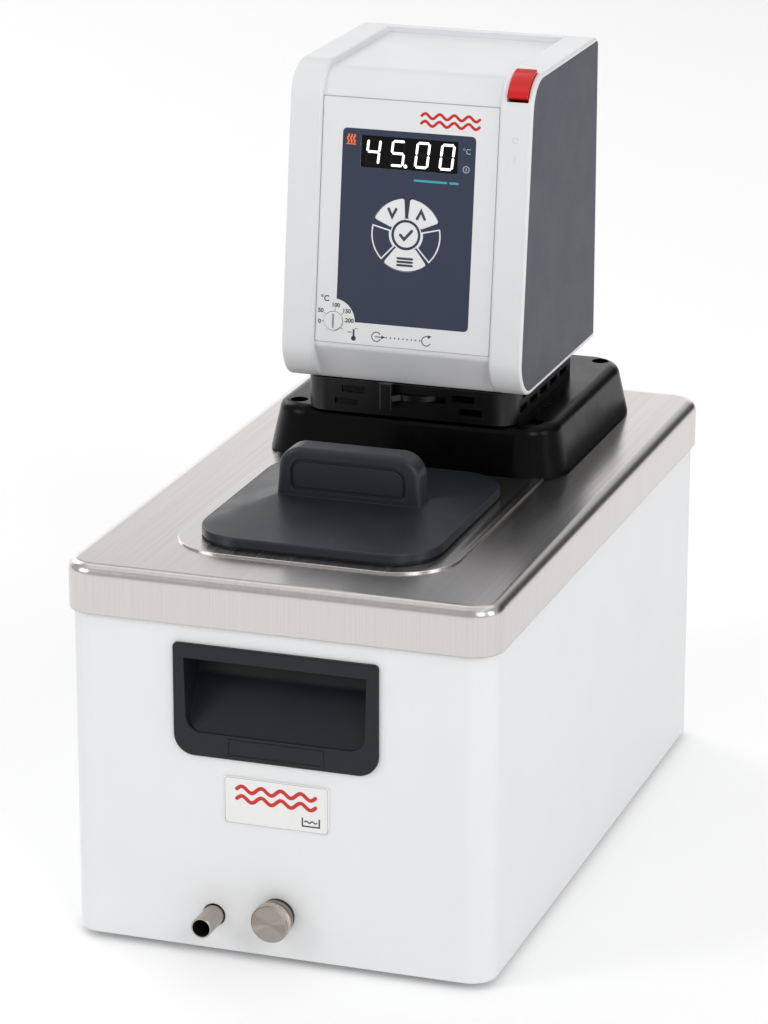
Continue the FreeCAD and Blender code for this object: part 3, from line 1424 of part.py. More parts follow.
def make_impeller():
    body = new_body("impeller")
    low = dims.pump_low + dims.pump_wall + 1.5
    disc_top = low + 2
    top = pump_top - dims.pump_lid - 1.5
    pad(body, "XY", low, disc_top, circles=[(0.0, axis_y, dims.impeller_radius)])
    pad(body, "XY", disc_top, top, circles=[(0.0, axis_y, dims.shaft_radius + 3)])
    blades = []
    for index in range(6):
        angle = index * 60.0
        out_x, out_y = cosine(angle), sine(angle)
        blade = []
        for along, side in ((dims.shaft_radius + 1, -0.9), (dims.impeller_radius - 0.6, -0.9),
                            (dims.impeller_radius - 0.6, 0.9), (dims.shaft_radius + 1, 0.9)):
            blade.append((out_x * along - out_y * side, axis_y + out_y * along + out_x * side, 0.0))
        blades.append(blade)
    for blade in blades:
        pad(body, "XY", disc_top, top, [blade])
    pocket(body, "XY", low - 1, top + 1, circles=[(0.0, axis_y, dims.shaft_radius)])
    node(body, "impeller")


def motor_levels():
    bracket_low = head_foot + dims.head_floor
    stator_low = bracket_low + dims.bracket_sheet
    return bracket_low, stator_low, stator_low + dims.stator_height


def make_motor():
    bracket_low, low, top = motor_levels()
    radius, rotor = dims.stator_radius, dims.rotor_radius
    bore = rotor + dims.rotor_gap
    shaft = dims.shaft_radius
    bearing, width = dims.bearing_radius, dims.bearing_width
    stator = [(bore, low), (radius, low), (radius, top - 3), (radius - 3, top), (6.0, top),
              (6.0, top - 2), (bearing, top - 2), (bearing, top - 2 - width), (bore, top - 2 - width)]
    node(turned_body("motor_stator", stator, (0.0, axis_y, 0.0)), "motor_stator")

    bracket = new_body("motor_bracket")
    boss_low = bracket_low - 7
    span_x = dims.base_width - 26
    pad(bracket, "XY", bracket_low, low, [centred(span_x, axis_y - 31.5, axis_y + 31.5, 5.0)])
    pad(bracket, "XY", boss_low, bracket_low, circles=[(0.0, axis_y, bearing + 3)])
    pocket(bracket, "XY", boss_low + 1.5, low + 1, circles=[(0.0, axis_y, bearing)])
    pocket(bracket, "XY", boss_low - 1, boss_low + 2, circles=[(0.0, axis_y, 6.0)])
    node(bracket, "motor_bracket")

    inner = shaft + dims.running_gap
    bearings = [rod("bearing", bearing, bearing_low, bearing_low + width, 0.0, axis_y, bore=inner)
                for bearing_low in (top - 2 - width, boss_low + 1.5)]
    group("motor_bearings", bearings)

    rotor_low, rotor_top = low + 4, top - 2 - width - 2
    sleeve = [(shaft, rotor_low), (rotor, rotor_low), (rotor, rotor_top), (shaft, rotor_top)]
    node(turned_body("motor_rotor", sleeve, (0.0, axis_y, 0.0)), "motor_rotor")
    shaft_low = dims.pump_low + dims.pump_wall + 0.6
    shaft_top = top + 16
    node(turned_body("drive_shaft", [(0.0, shaft_low), (shaft, shaft_low), (shaft, shaft_top), (0.0, shaft_top)],
                     (0.0, axis_y, 0.0)), "drive_shaft")
    make_fan(top + 3, shaft_top - 2)


def make_fan(low, top):
    body = new_body("cooling_fan")
    pad(body, "XY", low, low + 1.5, circles=[(0.0, axis_y, dims.fan_radius)])
    pad(body, "XY", low + 1.5, top, circles=[(0.0, axis_y, dims.shaft_radius + 4)])
    for index in range(8):
        angle = index * 45.0
        out_x, out_y = cosine(angle), sine(angle)
        blade = []
        for along, side in ((dims.shaft_radius + 2, -0.8), (dims.fan_radius - 1, -0.8),
                            (dims.fan_radius - 1, 0.8), (dims.shaft_radius + 2, 0.8)):
            blade.append((out_x * along - out_y * side, axis_y + out_y * along + out_x * side, 0.0))
        pad(body, "XY", low + 1.5, top - 1, [blade])
    pocket(body, "XY", low - 1, top + 1, circles=[(0.0, axis_y, dims.shaft_radius)])
    node(body, "cooling_fan")


def make_heater():
    """The tubular heater: level loops round the pump, short slopes between them, and two legs."""
    tube, radius, pitch = dims.coil_tube.value, dims.coil_radius.value, dims.coil_pitch.value
    low, plate, middle_y = dims.coil_low.value, unit_low.value, axis_y.value
    levels = [low + pitch * index for index in range(int(dims.coil_turns.value))]
    loop = 330.0

    def spot(angle, level):
        turn = math.radians(angle)
        return FreeCAD.Vector(radius * math.cos(turn), middle_y + radius * math.sin(turn), level)

    def straight(start, end):
        run = end - start
        return [Part.makeCylinder(tube, run.Length, start, run), Part.makeSphere(tube, start)]

    pieces = []
    for level in levels:
        centre = FreeCAD.Vector(0, middle_y, level)
        pieces.append(Part.makeTorus(radius, tube, centre, FreeCAD.Vector(0, 0, 1), -180, 180, loop))
    for below, above in zip(levels, levels[1:]):
        pieces += straight(spot(loop, below), spot(0, above))
        pieces.append(Part.makeSphere(tube, spot(0, above)))
    side = FreeCAD.Vector(radius + 2 * tube + 1.5, middle_y, low)
    pieces += straight(spot(0, low), side)
    pieces += straight(side, FreeCAD.Vector(side.x, side.y, plate))
    end = spot(loop, levels[-1])
    pieces += straight(end, FreeCAD.Vector(end.x, end.y, plate))
    heater = doc.addObject("Part::Feature", "heater_coil")
    heater.Shape = pieces[0].fuse(pieces[1:]).removeSplitter()
    node(heater, "heater_coil")


def make_probes():
    """The working sensor and the cut-out sensor, hanging from the steel plate."""
    radius = dims.probe_radius
    low = dims.pump_low + 5
    profile = [(0.0, low), (radius * 0.5, low), (radius, low + 1.5), (radius, unit_low), (0.0, unit_low)]
    spots = [(dims.float_side, bridge_front + dims.float_setback + dy, 0.0) for dy in (2.0, 12.0)]
    group("temperature_probes", [turned_body("probe", profile, spot) for spot in spots])


def make_float():
    x, y = -dims.float_side, bridge_front + dims.float_setback
    stem = dims.stem_radius
    stop = stem + 2.5
    float_low = dims.cover_top - 60
    stem_low = float_low - 4
    lock = float_low + dims.float_height + dims.float_travel + 0.3
    profile = [(0.0, stem_low), (stop, stem_low), (stop, float_low), (stem, float_low), (stem, lock),
               (stop, lock), (stop, lock + 2), (stem, lock + 2), (stem, unit_low), (0.0, unit_low)]
    node(turned_body("float_stem", profile, (x, y, 0.0)), "float_stem")
    high = float_low + dims.float_height
    node(rod("level_float", dims.float_radius, float_low, high, x, y, bore=stem + 0.3), "level_float")


def make_pipe(name, side, low):
    """A pump pipe: up from a height, round a bend and back to its port."""
    body = new_body(name)
    port_z = rim_top + dims.port_level
    x = side * dims.pipe_side
    end_y = bridge_back - dims.bridge_wall - 10
    path = body.newObject("Sketcher::SketchObject", f"{name}_path")
    origin = next(item for item in body.Origin.OriginFeatures if item.Role == "YZ_Plane")
    path.AttachmentSupport = (origin, [""])
    path.MapMode = "FlatFace"
    bend = dims.pipe_bend
    foot = FreeCAD.Vector(pipe_y.value, number(low), 0)
    corner = FreeCAD.Vector(pipe_y.value, port_z.value, 0)
    end = FreeCAD.Vector(end_y.value, port_z.value, 0)
    add_open_bend(path, foot, corner, end, (pipe_y, low), (pipe_y, port_z), (end_y, port_z), bend)
    place(body, (x, 0, 0))
    section = new_sketch(body, "XY", low)
    add_circle(section, 0.0, pipe_y, dims.pipe_radius)
    add_circle(section, 0.0, pipe_y, dims.pipe_bore)
    pipe = body.newObject("PartDesign::AdditivePipe", f"{name}_sweep")
    pipe.Profile = section
    pipe.Spine = path
    doc.recompute()
    return body


def add_open_bend(sketch, foot, corner, end, foot_size, corner_size, end_size, bend):
    """A straight run, a tangent arc and a second straight run, held at three points."""
    radius = number(bend)
    into = (foot - corner).normalize()
    out = (end - corner).normalize()
    first = sketch.addGeometry(Part.LineSegment(foot, corner + into * radius), False)
    centre = corner + into * radius + out * radius
    begin, finish = corner + into * radius, corner + out * radius
    turn = (begin - centre).cross(finish - centre).z
    if turn < 0:
        begin, finish = finish, begin
    angles = [math.atan2(p.y - centre.y, p.x - centre.x) for p in (begin, finish)]
    if angles[1] < angles[0]:
        angles[1] += 2 * math.pi
    circle = Part.Circle(centre, FreeCAD.Vector(0, 0, 1), radius)
    arc = sketch.addGeometry(Part.ArcOfCircle(circle, angles[0], angles[1]), False)
    second = sketch.addGeometry(Part.LineSegment(corner + out * radius, end), False)
    side_in, side_out = (1, 2) if turn > 0 else (2, 1)
    sketch.addConstraint(Sketcher.Constraint("Tangent", first, 2, arc, side_in))
    sketch.addConstraint(Sketcher.Constraint("Tangent", arc, side_out, second, 1))
    index = sketch.addConstraint(Sketcher.Constraint("Radius", arc, radius))
    bind(sketch, f"Constraints[{index}]", bend)
    point = sketch.addGeometry(Part.Point(corner), True)
    sketch.addConstraint(Sketcher.Constraint("PointOnObject", point, 1, first))
    sketch.addConstraint(Sketcher.Constraint("PointOnObject", point, 1, second))
    pin_point(sketch, point, 1, *corner_size)
    pin_point(sketch, first, 1, *foot_size)
    pin_point(sketch, second, 2, *end_size)


def make_ports():
    """The two pump connections through the bridge's back wall."""
    inner = bridge_back - dims.bridge_wall
    length = dims.port_reach + dims.bridge_wall
    radius, bore = dims.port_radius, dims.port_bore
    start = -10.0
    collar = dims.port_collar
    profile = [(dims.pipe_bore, start), (dims.port_flange, start), (dims.port_flange, 0.0),
               (collar, 0.0), (collar, length - 16), (radius, length - 16),
               (radius, length - 1), (radius - 1, length), (bore, length), (bore, start + 6),
               (dims.pipe_bore, start + 6)]
    spots = [(side * dims.pipe_side, inner, rim_top + dims.port_level) for side in (-1, 1)]
    group("pump_ports", [turned_body("pump_port", profile, spot, along="Y") for spot in spots])


# ---------------------------------------------------------------- electronics

def make_power_board():
    back = head_back - dims.rear_sheet
    front = back - 12
    low, high = head_foot + 52, head_top - 24
    half = 44.0
    board = new_body("power_board")
    pad(board, "XZ", front - 1.6, front, [centred(2 * half, low, high, 2.0)])
    spots = [(side * (half - 5), z) for side in (-1, 1) for z in (low + 5, high - 5)]
    pocket(board, "XZ", front - 3, front + 1, circles=[(x, z, 1.6) for x, z in spots])
    node(board, "power_board")
    posts = []
    for x, z in spots:
        post = new_body("power_post")
        pad(post, "XZ", front, back, circles=[(x, z, 3.0)])
        pad(post, "XZ", front - 1.6, front, circles=[(x, z, 1.6)])
        posts.append(post)
    return posts


# ---------------------------------------------------------------- drain

def make_valve_body():
    body = new_body("valve_block")
    left, right = -dims.drain_side - 9, 14.0
    low, high = dims.drain_level - 10, dims.knob_level + 11
    pad(body, "XZ", valve_front, valve_back, [box_corners(left, right, low, high, 2.0)])
    knob_z = dims.knob_level
    pocket(body, "XZ", valve_front - 1, chamber_front + 1,
           circles=[(0.0, knob_z, dims.spindle_radius + dims.running_gap)])
    chamber = new_body("valve_chamber")
    pad(chamber, "XZ", chamber_front, chamber_back, circles=[(0.0, knob_z, dims.chamber_radius)])
    pad(chamber, "XZ", chamber_back - 1, valve_back + 1, circles=[(0.0, knob_z, dims.hose_bore - 0.5)])
    passage = new_body("valve_passage")
    middle_y = (chamber_front + chamber_back) / 2 - 2
    pad(passage, "YZ", -dims.drain_side - 3, 0.0, circles=[(middle_y, dims.drain_level + 1, 3.5)])
    tube_bore = new_body("tube_bore")
    pad(tube_bore, "XZ", valve_front - 1, valve_front + 12,
        circles=[(-dims.drain_side, dims.drain_level, drain_seat())])
    hollow = doc.addObject("Part::MultiFuse", "valve_hollow")
    hollow.Shapes = [chamber, passage, tube_bore]
    doc.recompute()
    cut("drain_valve_body", body, hollow)


def drain_seat():
    """Radius of the drain tube's slimmer end, which sits in the valve block."""
    return dims.drain_radius - 0.3


def make_drain_tube():
    length = valve_front + 12 - drain_tube_tip
    outer = dims.drain_radius
    inner = outer - dims.drain_wall
    free = casing_front - drain_tube_tip - 0.5
    profile = [(inner, 0.0), (outer - 0.25, 0.0), (outer, 0.25), (outer, free), (drain_seat(), free),
               (drain_seat(), length), (inner, length)]
    spot = (-dims.drain_side, drain_tube_tip, dims.drain_level)
    node(turned_body("drain_tube", profile, spot, along="Y"), "drain_tube")


def make_drain_knob():
    face = casing_front - dims.knob_reach
    band = dims.knob_band
    radius, neck = dims.knob_radius, dims.neck_radius
    spindle, thread = dims.spindle_radius, dims.thread_radius
    shoulder = dims.knob_reach - 3
    collar = valve_front - face - 0.3
    tip = chamber_back - dims.plug_length - 3 + 6 - face
    profile = [(0.0, 0.0), (radius - 0.8, 0.0), (radius, 0.8), (radius, band - 0.4), (radius - 0.4, band),
               (radius - 1.5, band), (radius - 1.5, band + 1.2), (radius - 0.5, band + 1.2),
               (radius - 0.5, shoulder), (neck, shoulder), (neck, collar), (spindle, collar),
               (spindle, chamber_front - face), (thread, chamber_front - face), (thread, tip), (0.0, tip)]
    node(turned_body("drain_knob", profile, (0.0, face, dims.knob_level), along="Y"), "drain_knob")
    gap = 0.7
    ring = [(neck + gap, -2.2), (radius - 1.4, -2.2), (radius - 0.9, -1.6), (radius - 0.9, 0.0),
            (neck + gap, 0.0)]
    node(turned_body("knob_ring", ring, (0.0, casing_front, dims.knob_level), along="Y"), "knob_ring")


def make_valve_plug():
    """The plug that the spindle's thread draws off its seat."""
    length = dims.plug_length
    bore = dims.thread_radius + dims.running_gap
    deep = length - 2.5
    profile = [(bore, 0.0), (dims.plug_radius - 0.5, 0.0), (dims.plug_radius, 0.5),
               (dims.plug_radius, length - 2), (dims.plug_radius - 2, length), (0.0, length),
               (0.0, deep), (bore, deep)]
    spot = (0.0, chamber_back - length, dims.knob_level)
    node(turned_body("valve_plug", profile, spot, along="Y"), "valve_plug")


def make_drain_pipe():
    """The pipe from the bath's outlet, down and forward to the back of the valve block."""
    body = new_body("drain_pipe")
    path = body.newObject("Sketcher::SketchObject", "drain_path")
    origin = next(item for item in body.Origin.OriginFeatures if item.Role == "YZ_Plane")
    path.AttachmentSupport = (origin, [""])
    path.MapMode = "FlatFace"
    y, z = outlet_y(), dims.knob_level
    foot = FreeCAD.Vector(y.value, tank_under.value, 0)
    corner = FreeCAD.Vector(y.value, z.value, 0)
    end = FreeCAD.Vector(valve_back.value, z.value, 0)
    add_open_bend(path, foot, corner, end, (y, tank_under), (y, z), (valve_back, z), dims.hose_bend)
    section = new_sketch(body, "XY", tank_under)
    add_circle(section, 0.0, y, dims.hose_radius)
    add_circle(section, 0.0, y, dims.hose_bore)
    pipe = body.newObject("PartDesign::AdditivePipe", "drain_sweep")
    pipe.Profile = section
    pipe.Spine = path
    doc.recompute()
    node(body, "drain_pipe")


# ---------------------------------------------------------------- build and write

def build():
    write_sheet()
    make_casing()
    make_base_plate()
    make_feet()
    make_top_cover()
    make_cover_brackets()
    make_rim()
    make_tank()
    make_insulation()
    make_grip("front_grip", True)
    make_grip("rear_grip", False)
    make_badge()
    make_lid()
    make_bridge()
    make_bridge_gasket()
    make_bridge_screws()
    make_head_base()
    make_head_housing()
    make_side_panels()
    make_rear_panel()
    make_mains_inlet()
    make_front_label()
    group("board_posts", make_display() + make_power_board())
    make_centre_key()
    make_sector_key("key_down", 95.0, 157.0)
    make_sector_key("key_up", 23.0, 85.0)
    make_sector_key("key_menu", 232.0, 308.0)
    make_dial()
    make_mains_switch()
    make_switch_body()
    make_lever()
    make_unit_plate()
    make_pump()
    make_impeller()
    make_motor()
    make_heater()
    make_probes()
    make_float()
    group("pump_pipes", [make_pipe("outlet_pipe", -1, pump_top), make_pipe("return_pipe", 1, dims.cover_top - 60)])
    make_ports()
    make_valve_body()
    make_drain_tube()
    make_drain_knob()
    make_valve_plug()
    make_drain_pipe()


def check():
    """Stop on any failed feature or unusable shape."""
    for obj in doc.Objects:
        bad = [state for state in obj.State if state in ("Invalid", "Error")]
        if bad:
            raise RuntimeError(f"{obj.Name} is {bad}")
    for obj in nodes:
        if obj.Shape.isNull() or not obj.Shape.isValid() or not obj.Shape.Solids:
            raise RuntimeError(f"{obj.Label} has no valid solid")


def write():
    os.makedirs("parts", exist_ok=True)
    for obj in nodes:
        obj.Shape.exportStep(f"parts/{obj.Label}.step")
    print(len(nodes), "nodes written")


build()
doc.recompute()
check()
write()
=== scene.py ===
"""Looks of a benchtop heating circulator: materials, printed marks, floor, light and camera."""

import json
import math

import bmesh
import bpy
from mathutils import Matrix, Vector


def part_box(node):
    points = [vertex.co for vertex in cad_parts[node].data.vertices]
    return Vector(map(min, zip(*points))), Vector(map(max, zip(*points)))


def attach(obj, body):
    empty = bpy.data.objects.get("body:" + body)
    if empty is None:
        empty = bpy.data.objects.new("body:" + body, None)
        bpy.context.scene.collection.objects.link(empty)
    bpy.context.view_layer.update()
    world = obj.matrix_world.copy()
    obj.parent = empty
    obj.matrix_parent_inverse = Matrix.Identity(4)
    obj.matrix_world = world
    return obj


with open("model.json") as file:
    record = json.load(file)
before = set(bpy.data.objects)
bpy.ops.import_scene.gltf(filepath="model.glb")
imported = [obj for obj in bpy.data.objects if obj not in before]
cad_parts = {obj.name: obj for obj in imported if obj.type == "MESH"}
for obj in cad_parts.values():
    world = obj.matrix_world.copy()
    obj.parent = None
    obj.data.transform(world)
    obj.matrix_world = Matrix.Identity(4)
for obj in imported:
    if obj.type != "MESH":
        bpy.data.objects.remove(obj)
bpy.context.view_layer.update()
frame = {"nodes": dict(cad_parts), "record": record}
nodes = frame["nodes"]

MM = 0.001
ROOT = "housing"

# ---------------------------------------------------------------- shading helpers


def paint(code):
    """Linear colour from a hex code."""
    parts = [int(code[i:i + 2], 16) / 255 for i in (0, 2, 4)]
    return tuple(p / 12.92 if p <= 0.04045 else ((p + 0.055) / 1.055) ** 2.4 for p in parts)


class Surface:
    """A Principled material that is built up from procedural layers in object space (metres)."""

    def __init__(self, name, code, roughness, metallic=0.0, **sockets):
        self.material = bpy.data.materials.new(name)
        self.material.use_nodes = True
        self.tree = self.material.node_tree
        self.shader = next(n for n in self.tree.nodes if n.type == "BSDF_PRINCIPLED")
        self.color = paint(code)
        self.set("Base Color", (*self.color, 1.0))
        self.set("Roughness", roughness)
        self.set("Metallic", metallic)
        self.roughness = roughness
        for socket, value in sockets.items():
            self.set(socket.replace("_", " "), value)
        self.place = self.add("ShaderNodeTexCoord").outputs["Object"]
        self.normal = None

    def set(self, socket, value):
        self.shader.inputs[socket].default_value = value

    def add(self, kind, **values):
        node = self.tree.nodes.new(kind)
        for name, value in values.items():
            setattr(node, name, value)
        return node

    def link(self, output, socket):
        self.tree.links.new(output, socket)

    def stretched(self, stretch):
        mapping = self.add("ShaderNodeMapping")
        mapping.inputs["Scale"].default_value = stretch
        self.link(self.place, mapping.inputs["Vector"])
        return mapping.outputs["Vector"]

    def noise(self, size_mm, stretch=(1, 1, 1), detail=3.0, roughness=0.55):
        """Noise whose features are about size_mm across where the stretch is 1."""
        node = self.add("ShaderNodeTexNoise")
        node.inputs["Scale"].default_value = 1.0
        node.inputs["Detail"].default_value = detail
        node.inputs["Roughness"].default_value = roughness
        per_metre = 1000 / size_mm
        self.link(self.stretched([s * per_metre for s in stretch]), node.inputs["Vector"])
        return node.outputs["Fac"]

    def ramp(self, source, low, high):
        """Source 0.3..0.7, the usual range of noise, carried to low..high."""
        node = self.add("ShaderNodeMapRange")
        for socket, value in (("From Min", 0.3), ("From Max", 0.7), ("To Min", low), ("To Max", high)):
            node.inputs[socket].default_value = value
        self.link(source, node.inputs["Value"])
        return node.outputs["Result"]

    def tint(self, source, darker, lighter):
        """Base colour between a darker and a lighter share of the surface's colour."""
        node = self.add("ShaderNodeMix", data_type="RGBA")
        node.inputs[6].default_value = (*[c * darker for c in self.color], 1)
        node.inputs[7].default_value = (*[min(1.0, c * lighter) for c in self.color], 1)
        self.link(self.ramp(source, 0.0, 1.0), node.inputs[0])
        self.link(node.outputs[2], self.shader.inputs["Base Color"])
        return self

    def roughen(self, source, spread):
        self.link(self.ramp(source, self.roughness - spread, self.roughness + spread),
                  self.shader.inputs["Roughness"])
        return self

    def bump(self, source, depth_mm, strength=1.0):
        node = self.add("ShaderNodeBump")
        node.inputs["Strength"].default_value = strength
        node.inputs["Distance"].default_value = depth_mm * MM
        self.link(source, node.inputs["Height"])
        if self.normal is not None:
            self.link(self.normal, node.inputs["Normal"])
        self.normal = node.outputs["Normal"]
        self.link(self.normal, self.shader.inputs["Normal"])
        return self

    def rounded(self, radius_mm):
        """Softens the look of edges that are sharp in the mesh."""
        node = self.add("ShaderNodeBevel", samples=4)
        node.inputs["Radius"].default_value = radius_mm * MM
        if self.normal is not None:
            self.link(self.normal, node.inputs["Normal"])
        self.normal = node.outputs["Normal"]
        self.link(self.normal, self.shader.inputs["Normal"])
        return self

    def facing(self, axis):
        """1 where the surface faces along an axis of the frame (0, 1 or 2), falling softly to 0."""
        coords = self.add("ShaderNodeTexCoord")
        split = self.add("ShaderNodeSeparateXYZ")
        self.link(coords.outputs["Normal"], split.inputs["Vector"])
        size = self.add("ShaderNodeMath", operation="ABSOLUTE")
        self.link(split.outputs[axis], size.inputs[0])
        step = self.add("ShaderNodeMapRange", interpolation_type="SMOOTHSTEP")
        self.link(size.outputs[0], step.inputs["Value"])
        step.inputs["From Min"].default_value = 0.35
        step.inputs["From Max"].default_value = 0.9
        return step.outputs["Result"]

    def either(self, choice, first, second):
        """The first source where choice is 0, the second where it is 1."""
        node = self.add("ShaderNodeMix", data_type="FLOAT")
        self.link(choice, node.inputs[0])
        self.link(first, node.inputs[2])
        self.link(second, node.inputs[3])
        return node.outputs[0]


def plastic(name, code, roughness, grain_mm=0.5, depth_mm=0.03, mottle=0.04, gloss=0.5, **sockets):
    """Moulded plastic: a fine spark-eroded grain and a slow, faint change of tone."""
    s = Surface(name, code, roughness, Specular_IOR_Level=gloss, **sockets)
    s.tint(s.noise(45), 1 - mottle, 1 + mottle)
    s.roughen(s.noise(18), 0.04)
    s.bump(s.noise(grain_mm), depth_mm, 0.5)
    return s


def metal(name, code, roughness, stretch=(1, 1, 1), line_mm=0.25, depth_mm=0.006, streak=0.05):
    """Bare metal, brushed along the axes whose stretch is small."""
    s = Surface(name, code, roughness, metallic=1.0)
    lines = s.noise(line_mm, stretch, detail=4)
    s.tint(lines, 1 - streak, 1 + streak)
    s.roughen(s.noise(line_mm * 3, stretch, detail=2), 0.06)
    s.bump(lines, depth_mm, 0.5)
    return s


ALONG = 0.004   # stretch along a brushed direction


def brushed_cover():
    """The cover sheet: brushed front to back on top, and the skirt brushed upright."""
    s = Surface("cover_steel", "d2cecc", 0.23, metallic=1.0)
    fine = (s.noise(0.7, (1, ALONG, ALONG), 5), s.noise(0.7, (ALONG, 1, ALONG), 5))
    broad = (s.noise(2.2, (1, ALONG, ALONG), 2), s.noise(2.2, (ALONG, 1, ALONG), 2))
    side = s.facing(0)
    lines = s.either(side, fine[0], fine[1])
    bands = s.either(side, broad[0], broad[1])
    s.tint(lines, 0.92, 1.04)
    s.roughen(bands, 0.02)
    s.bump(lines, 0.0008, 0.25)
    s.rounded(1.2)
    return s


def turned(name, code, roughness, centre, axis="Y", ring_mm=0.22):
    """Lathe-turned metal: fine rings round an axis through the centre."""
    s = Surface(name, code, roughness, metallic=1.0)
    shift = s.add("ShaderNodeMapping")
    shift.inputs["Location"].default_value = [-c for c in centre]
    s.link(s.place, shift.inputs["Vector"])
    wave = s.add("ShaderNodeTexWave", wave_type="RINGS", rings_direction=axis)
    rings_at_scale_1 = 20
    wave.inputs["Scale"].default_value = 1000 / ring_mm / rings_at_scale_1
    wave.inputs["Distortion"].default_value = 0.6
    wave.inputs["Detail"].default_value = 2.0
    s.link(shift.outputs["Vector"], wave.inputs["Vector"])
    s.tint(wave.outputs["Fac"], 0.95, 1.04)
    s.roughen(s.noise(1.5), 0.05)
    s.bump(wave.outputs["Fac"], 0.006, 0.5)
    s.set("Anisotropic", 0.95)
    spin = s.add("ShaderNodeTangent", direction_type="RADIAL", axis=axis)
    s.link(spin.outputs["Tangent"], s.shader.inputs["Tangent"])
    return s


# ---------------------------------------------------------------- materials of the CAD nodes

def powder_coat():
    s = Surface("powder_coat", "e9eaeb", 0.40, Specular_IOR_Level=0.4)
    s.tint(s.noise(60), 0.985, 1.01)
    s.bump(s.noise(1.5, detail=2), 0.09, 0.45)
    s.bump(s.noise(5.0, detail=1), 0.10, 0.20)
    return s.rounded(0.5)


def make_materials():
    m = {}
    m["powder_white"] = powder_coat()
    m["brushed_cover"] = brushed_cover()
    m["satin_rim"] = metal("rim_steel", "d4d1ce", 0.22, (1, ALONG, 1), 0.4, 0.0006, 0.02)
    m["tank_steel"] = metal("tank_steel", "cfcfcd", 0.28, (1, 1, 0.01), 0.5)
    m["zinc_steel"] = metal("zinc_plate", "a9adb3", 0.42, (1, 1, 1), 6.0, 0.004, 0.10)
    m["screw_steel"] = metal("screw_steel", "9a9a9c", 0.30, (1, 1, 1), 0.6)
    m["pump_steel"] = metal("pump_steel", "c4c4c4", 0.32, (1, 1, ALONG), 0.4)
    m["bearing_steel"] = metal("bearing_steel", "b8b8ba", 0.2, (1, 1, 1), 0.6)
    m["float_steel"] = metal("float_steel", "c8c8c8", 0.25, (1, 1, 0.05), 0.4)
    m["port_steel"] = metal("port_steel", "b9b6b2", 0.3, (0.05, 1, 0.05), 0.3)
    m["tube_steel"] = metal("tube_steel", "b3aaa3", 0.3, (1, ALONG, 1), 0.5, 0.01, 0.10)
    low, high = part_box("drain_knob")
    knob_centre = ((low.x + high.x) / 2, low.y, (low.z + high.z) / 2)
    m["knob_steel"] = turned("knob_steel", "b0a8a2", 0.46, knob_centre)
    m["knurl_steel"] = metal("knurl_steel", "c2bab2", 0.26, (1, 1, 1), 0.8, 0.004, 0.06)
    m["brass"] = metal("valve_nickel", "6f6c66", 0.38, (1, 1, 1), 1.2, 0.01, 0.08)
    m["motor_core"] = metal("motor_core", "6d6d70", 0.5, (ALONG, ALONG, 1), 0.5, 0.05, 0.15)
    m["motor_black"] = plastic("motor_black", "2b2b2d", 0.45, 1.2, 0.05)
    m["rubber_black"] = plastic("rubber_black", "1c1c1d", 0.75, 0.6, 0.03)
    m["foam_grey"] = plastic("foam_grey", "54555a", 0.95, 1.4, 0.4, 0.15)
    m["grip_plastic"] = plastic("grip_plastic", "1a1c21", 0.42, 0.45, 0.02, gloss=0.3).rounded(0.7)
    m["lid_plastic"] = plastic("lid_plastic", "20242b", 0.36, 0.45, 0.015, gloss=0.4).rounded(0.6)
    m["badge_white"] = plastic("badge_white", "ebebea", 0.30, 0.8, 0.01, 0.01)
    m["bridge_black"] = plastic("bridge_black", "030304", 0.24, 0.6, 0.01, gloss=0.12)
    m["base_black"] = plastic("base_black", "060607", 0.34, 0.5, 0.02, gloss=0.35)
    m["head_white"] = plastic("head_white", "e6e7e9", 0.36, 0.6, 0.01, 0.01).rounded(0.4)
    m["panel_grey"] = panel_grey()
    m["inlet_black"] = plastic("inlet_black", "19191b", 0.4)
    m["label_white"] = plastic("label_foil", "e8e9ea", 0.32, 0.35, 0.006, 0.008)
    m["window_black"] = plastic("window_black", "040405", 0.12, 2.0, 0.002, gloss=0.2)
    m["module_black"] = plastic("module_black", "1b1b1c", 0.5)
    m["board_green"] = circuit_board()
    m["key_white"] = plastic("key_white", "eaecee", 0.34, 0.4, 0.006, 0.01)
    m["dial_white"] = plastic("dial_white", "e8e8e8", 0.36, 0.5, 0.01, 0.01)
    m["switch_red"] = plastic("switch_red", "d2140c", 0.16, 0.8, 0.004, 0.03).rounded(1.0)
    m["pump_plastic"] = plastic("pump_plastic", "26272a", 0.45)
    m["fan_grey"] = plastic("fan_grey", "5a5b60", 0.5)
    m["hose_silicone"] = plastic("hose_silicone", "d9d6cc", 0.45, 1.5, 0.02, 0.03)
    return m


def panel_grey():
    s = Surface("panel_grey", "464852", 0.50, Specular_IOR_Level=0.3)
    s.tint(s.noise(0.7, detail=2), 0.86, 1.16)
    s.roughen(s.noise(25), 0.03)
    s.bump(s.noise(0.6, detail=2), 0.05, 0.5)
    return s


def circuit_board():
    s = Surface("circuit_board", "1f6b3a", 0.35)
    cells = s.add("ShaderNodeTexVoronoi", feature="F1")
    cells.inputs["Scale"].default_value = 1.0
    s.link(s.stretched((260, 260, 260)), cells.inputs["Vector"])
    s.tint(cells.outputs["Distance"], 0.7, 1.25)
    s.bump(s.noise(1.2), 0.03, 0.5)
    return s


materials = make_materials()


def finish_nodes():
    slots = {row["node"]: row["material_slot"] for row in frame["record"]["subparts"]}
    for name, obj in nodes.items():
        obj.data.materials.clear()
        obj.data.materials.append(materials[slots[name]].material)


finish_nodes()

# ---------------------------------------------------------------- flat marks and small solids

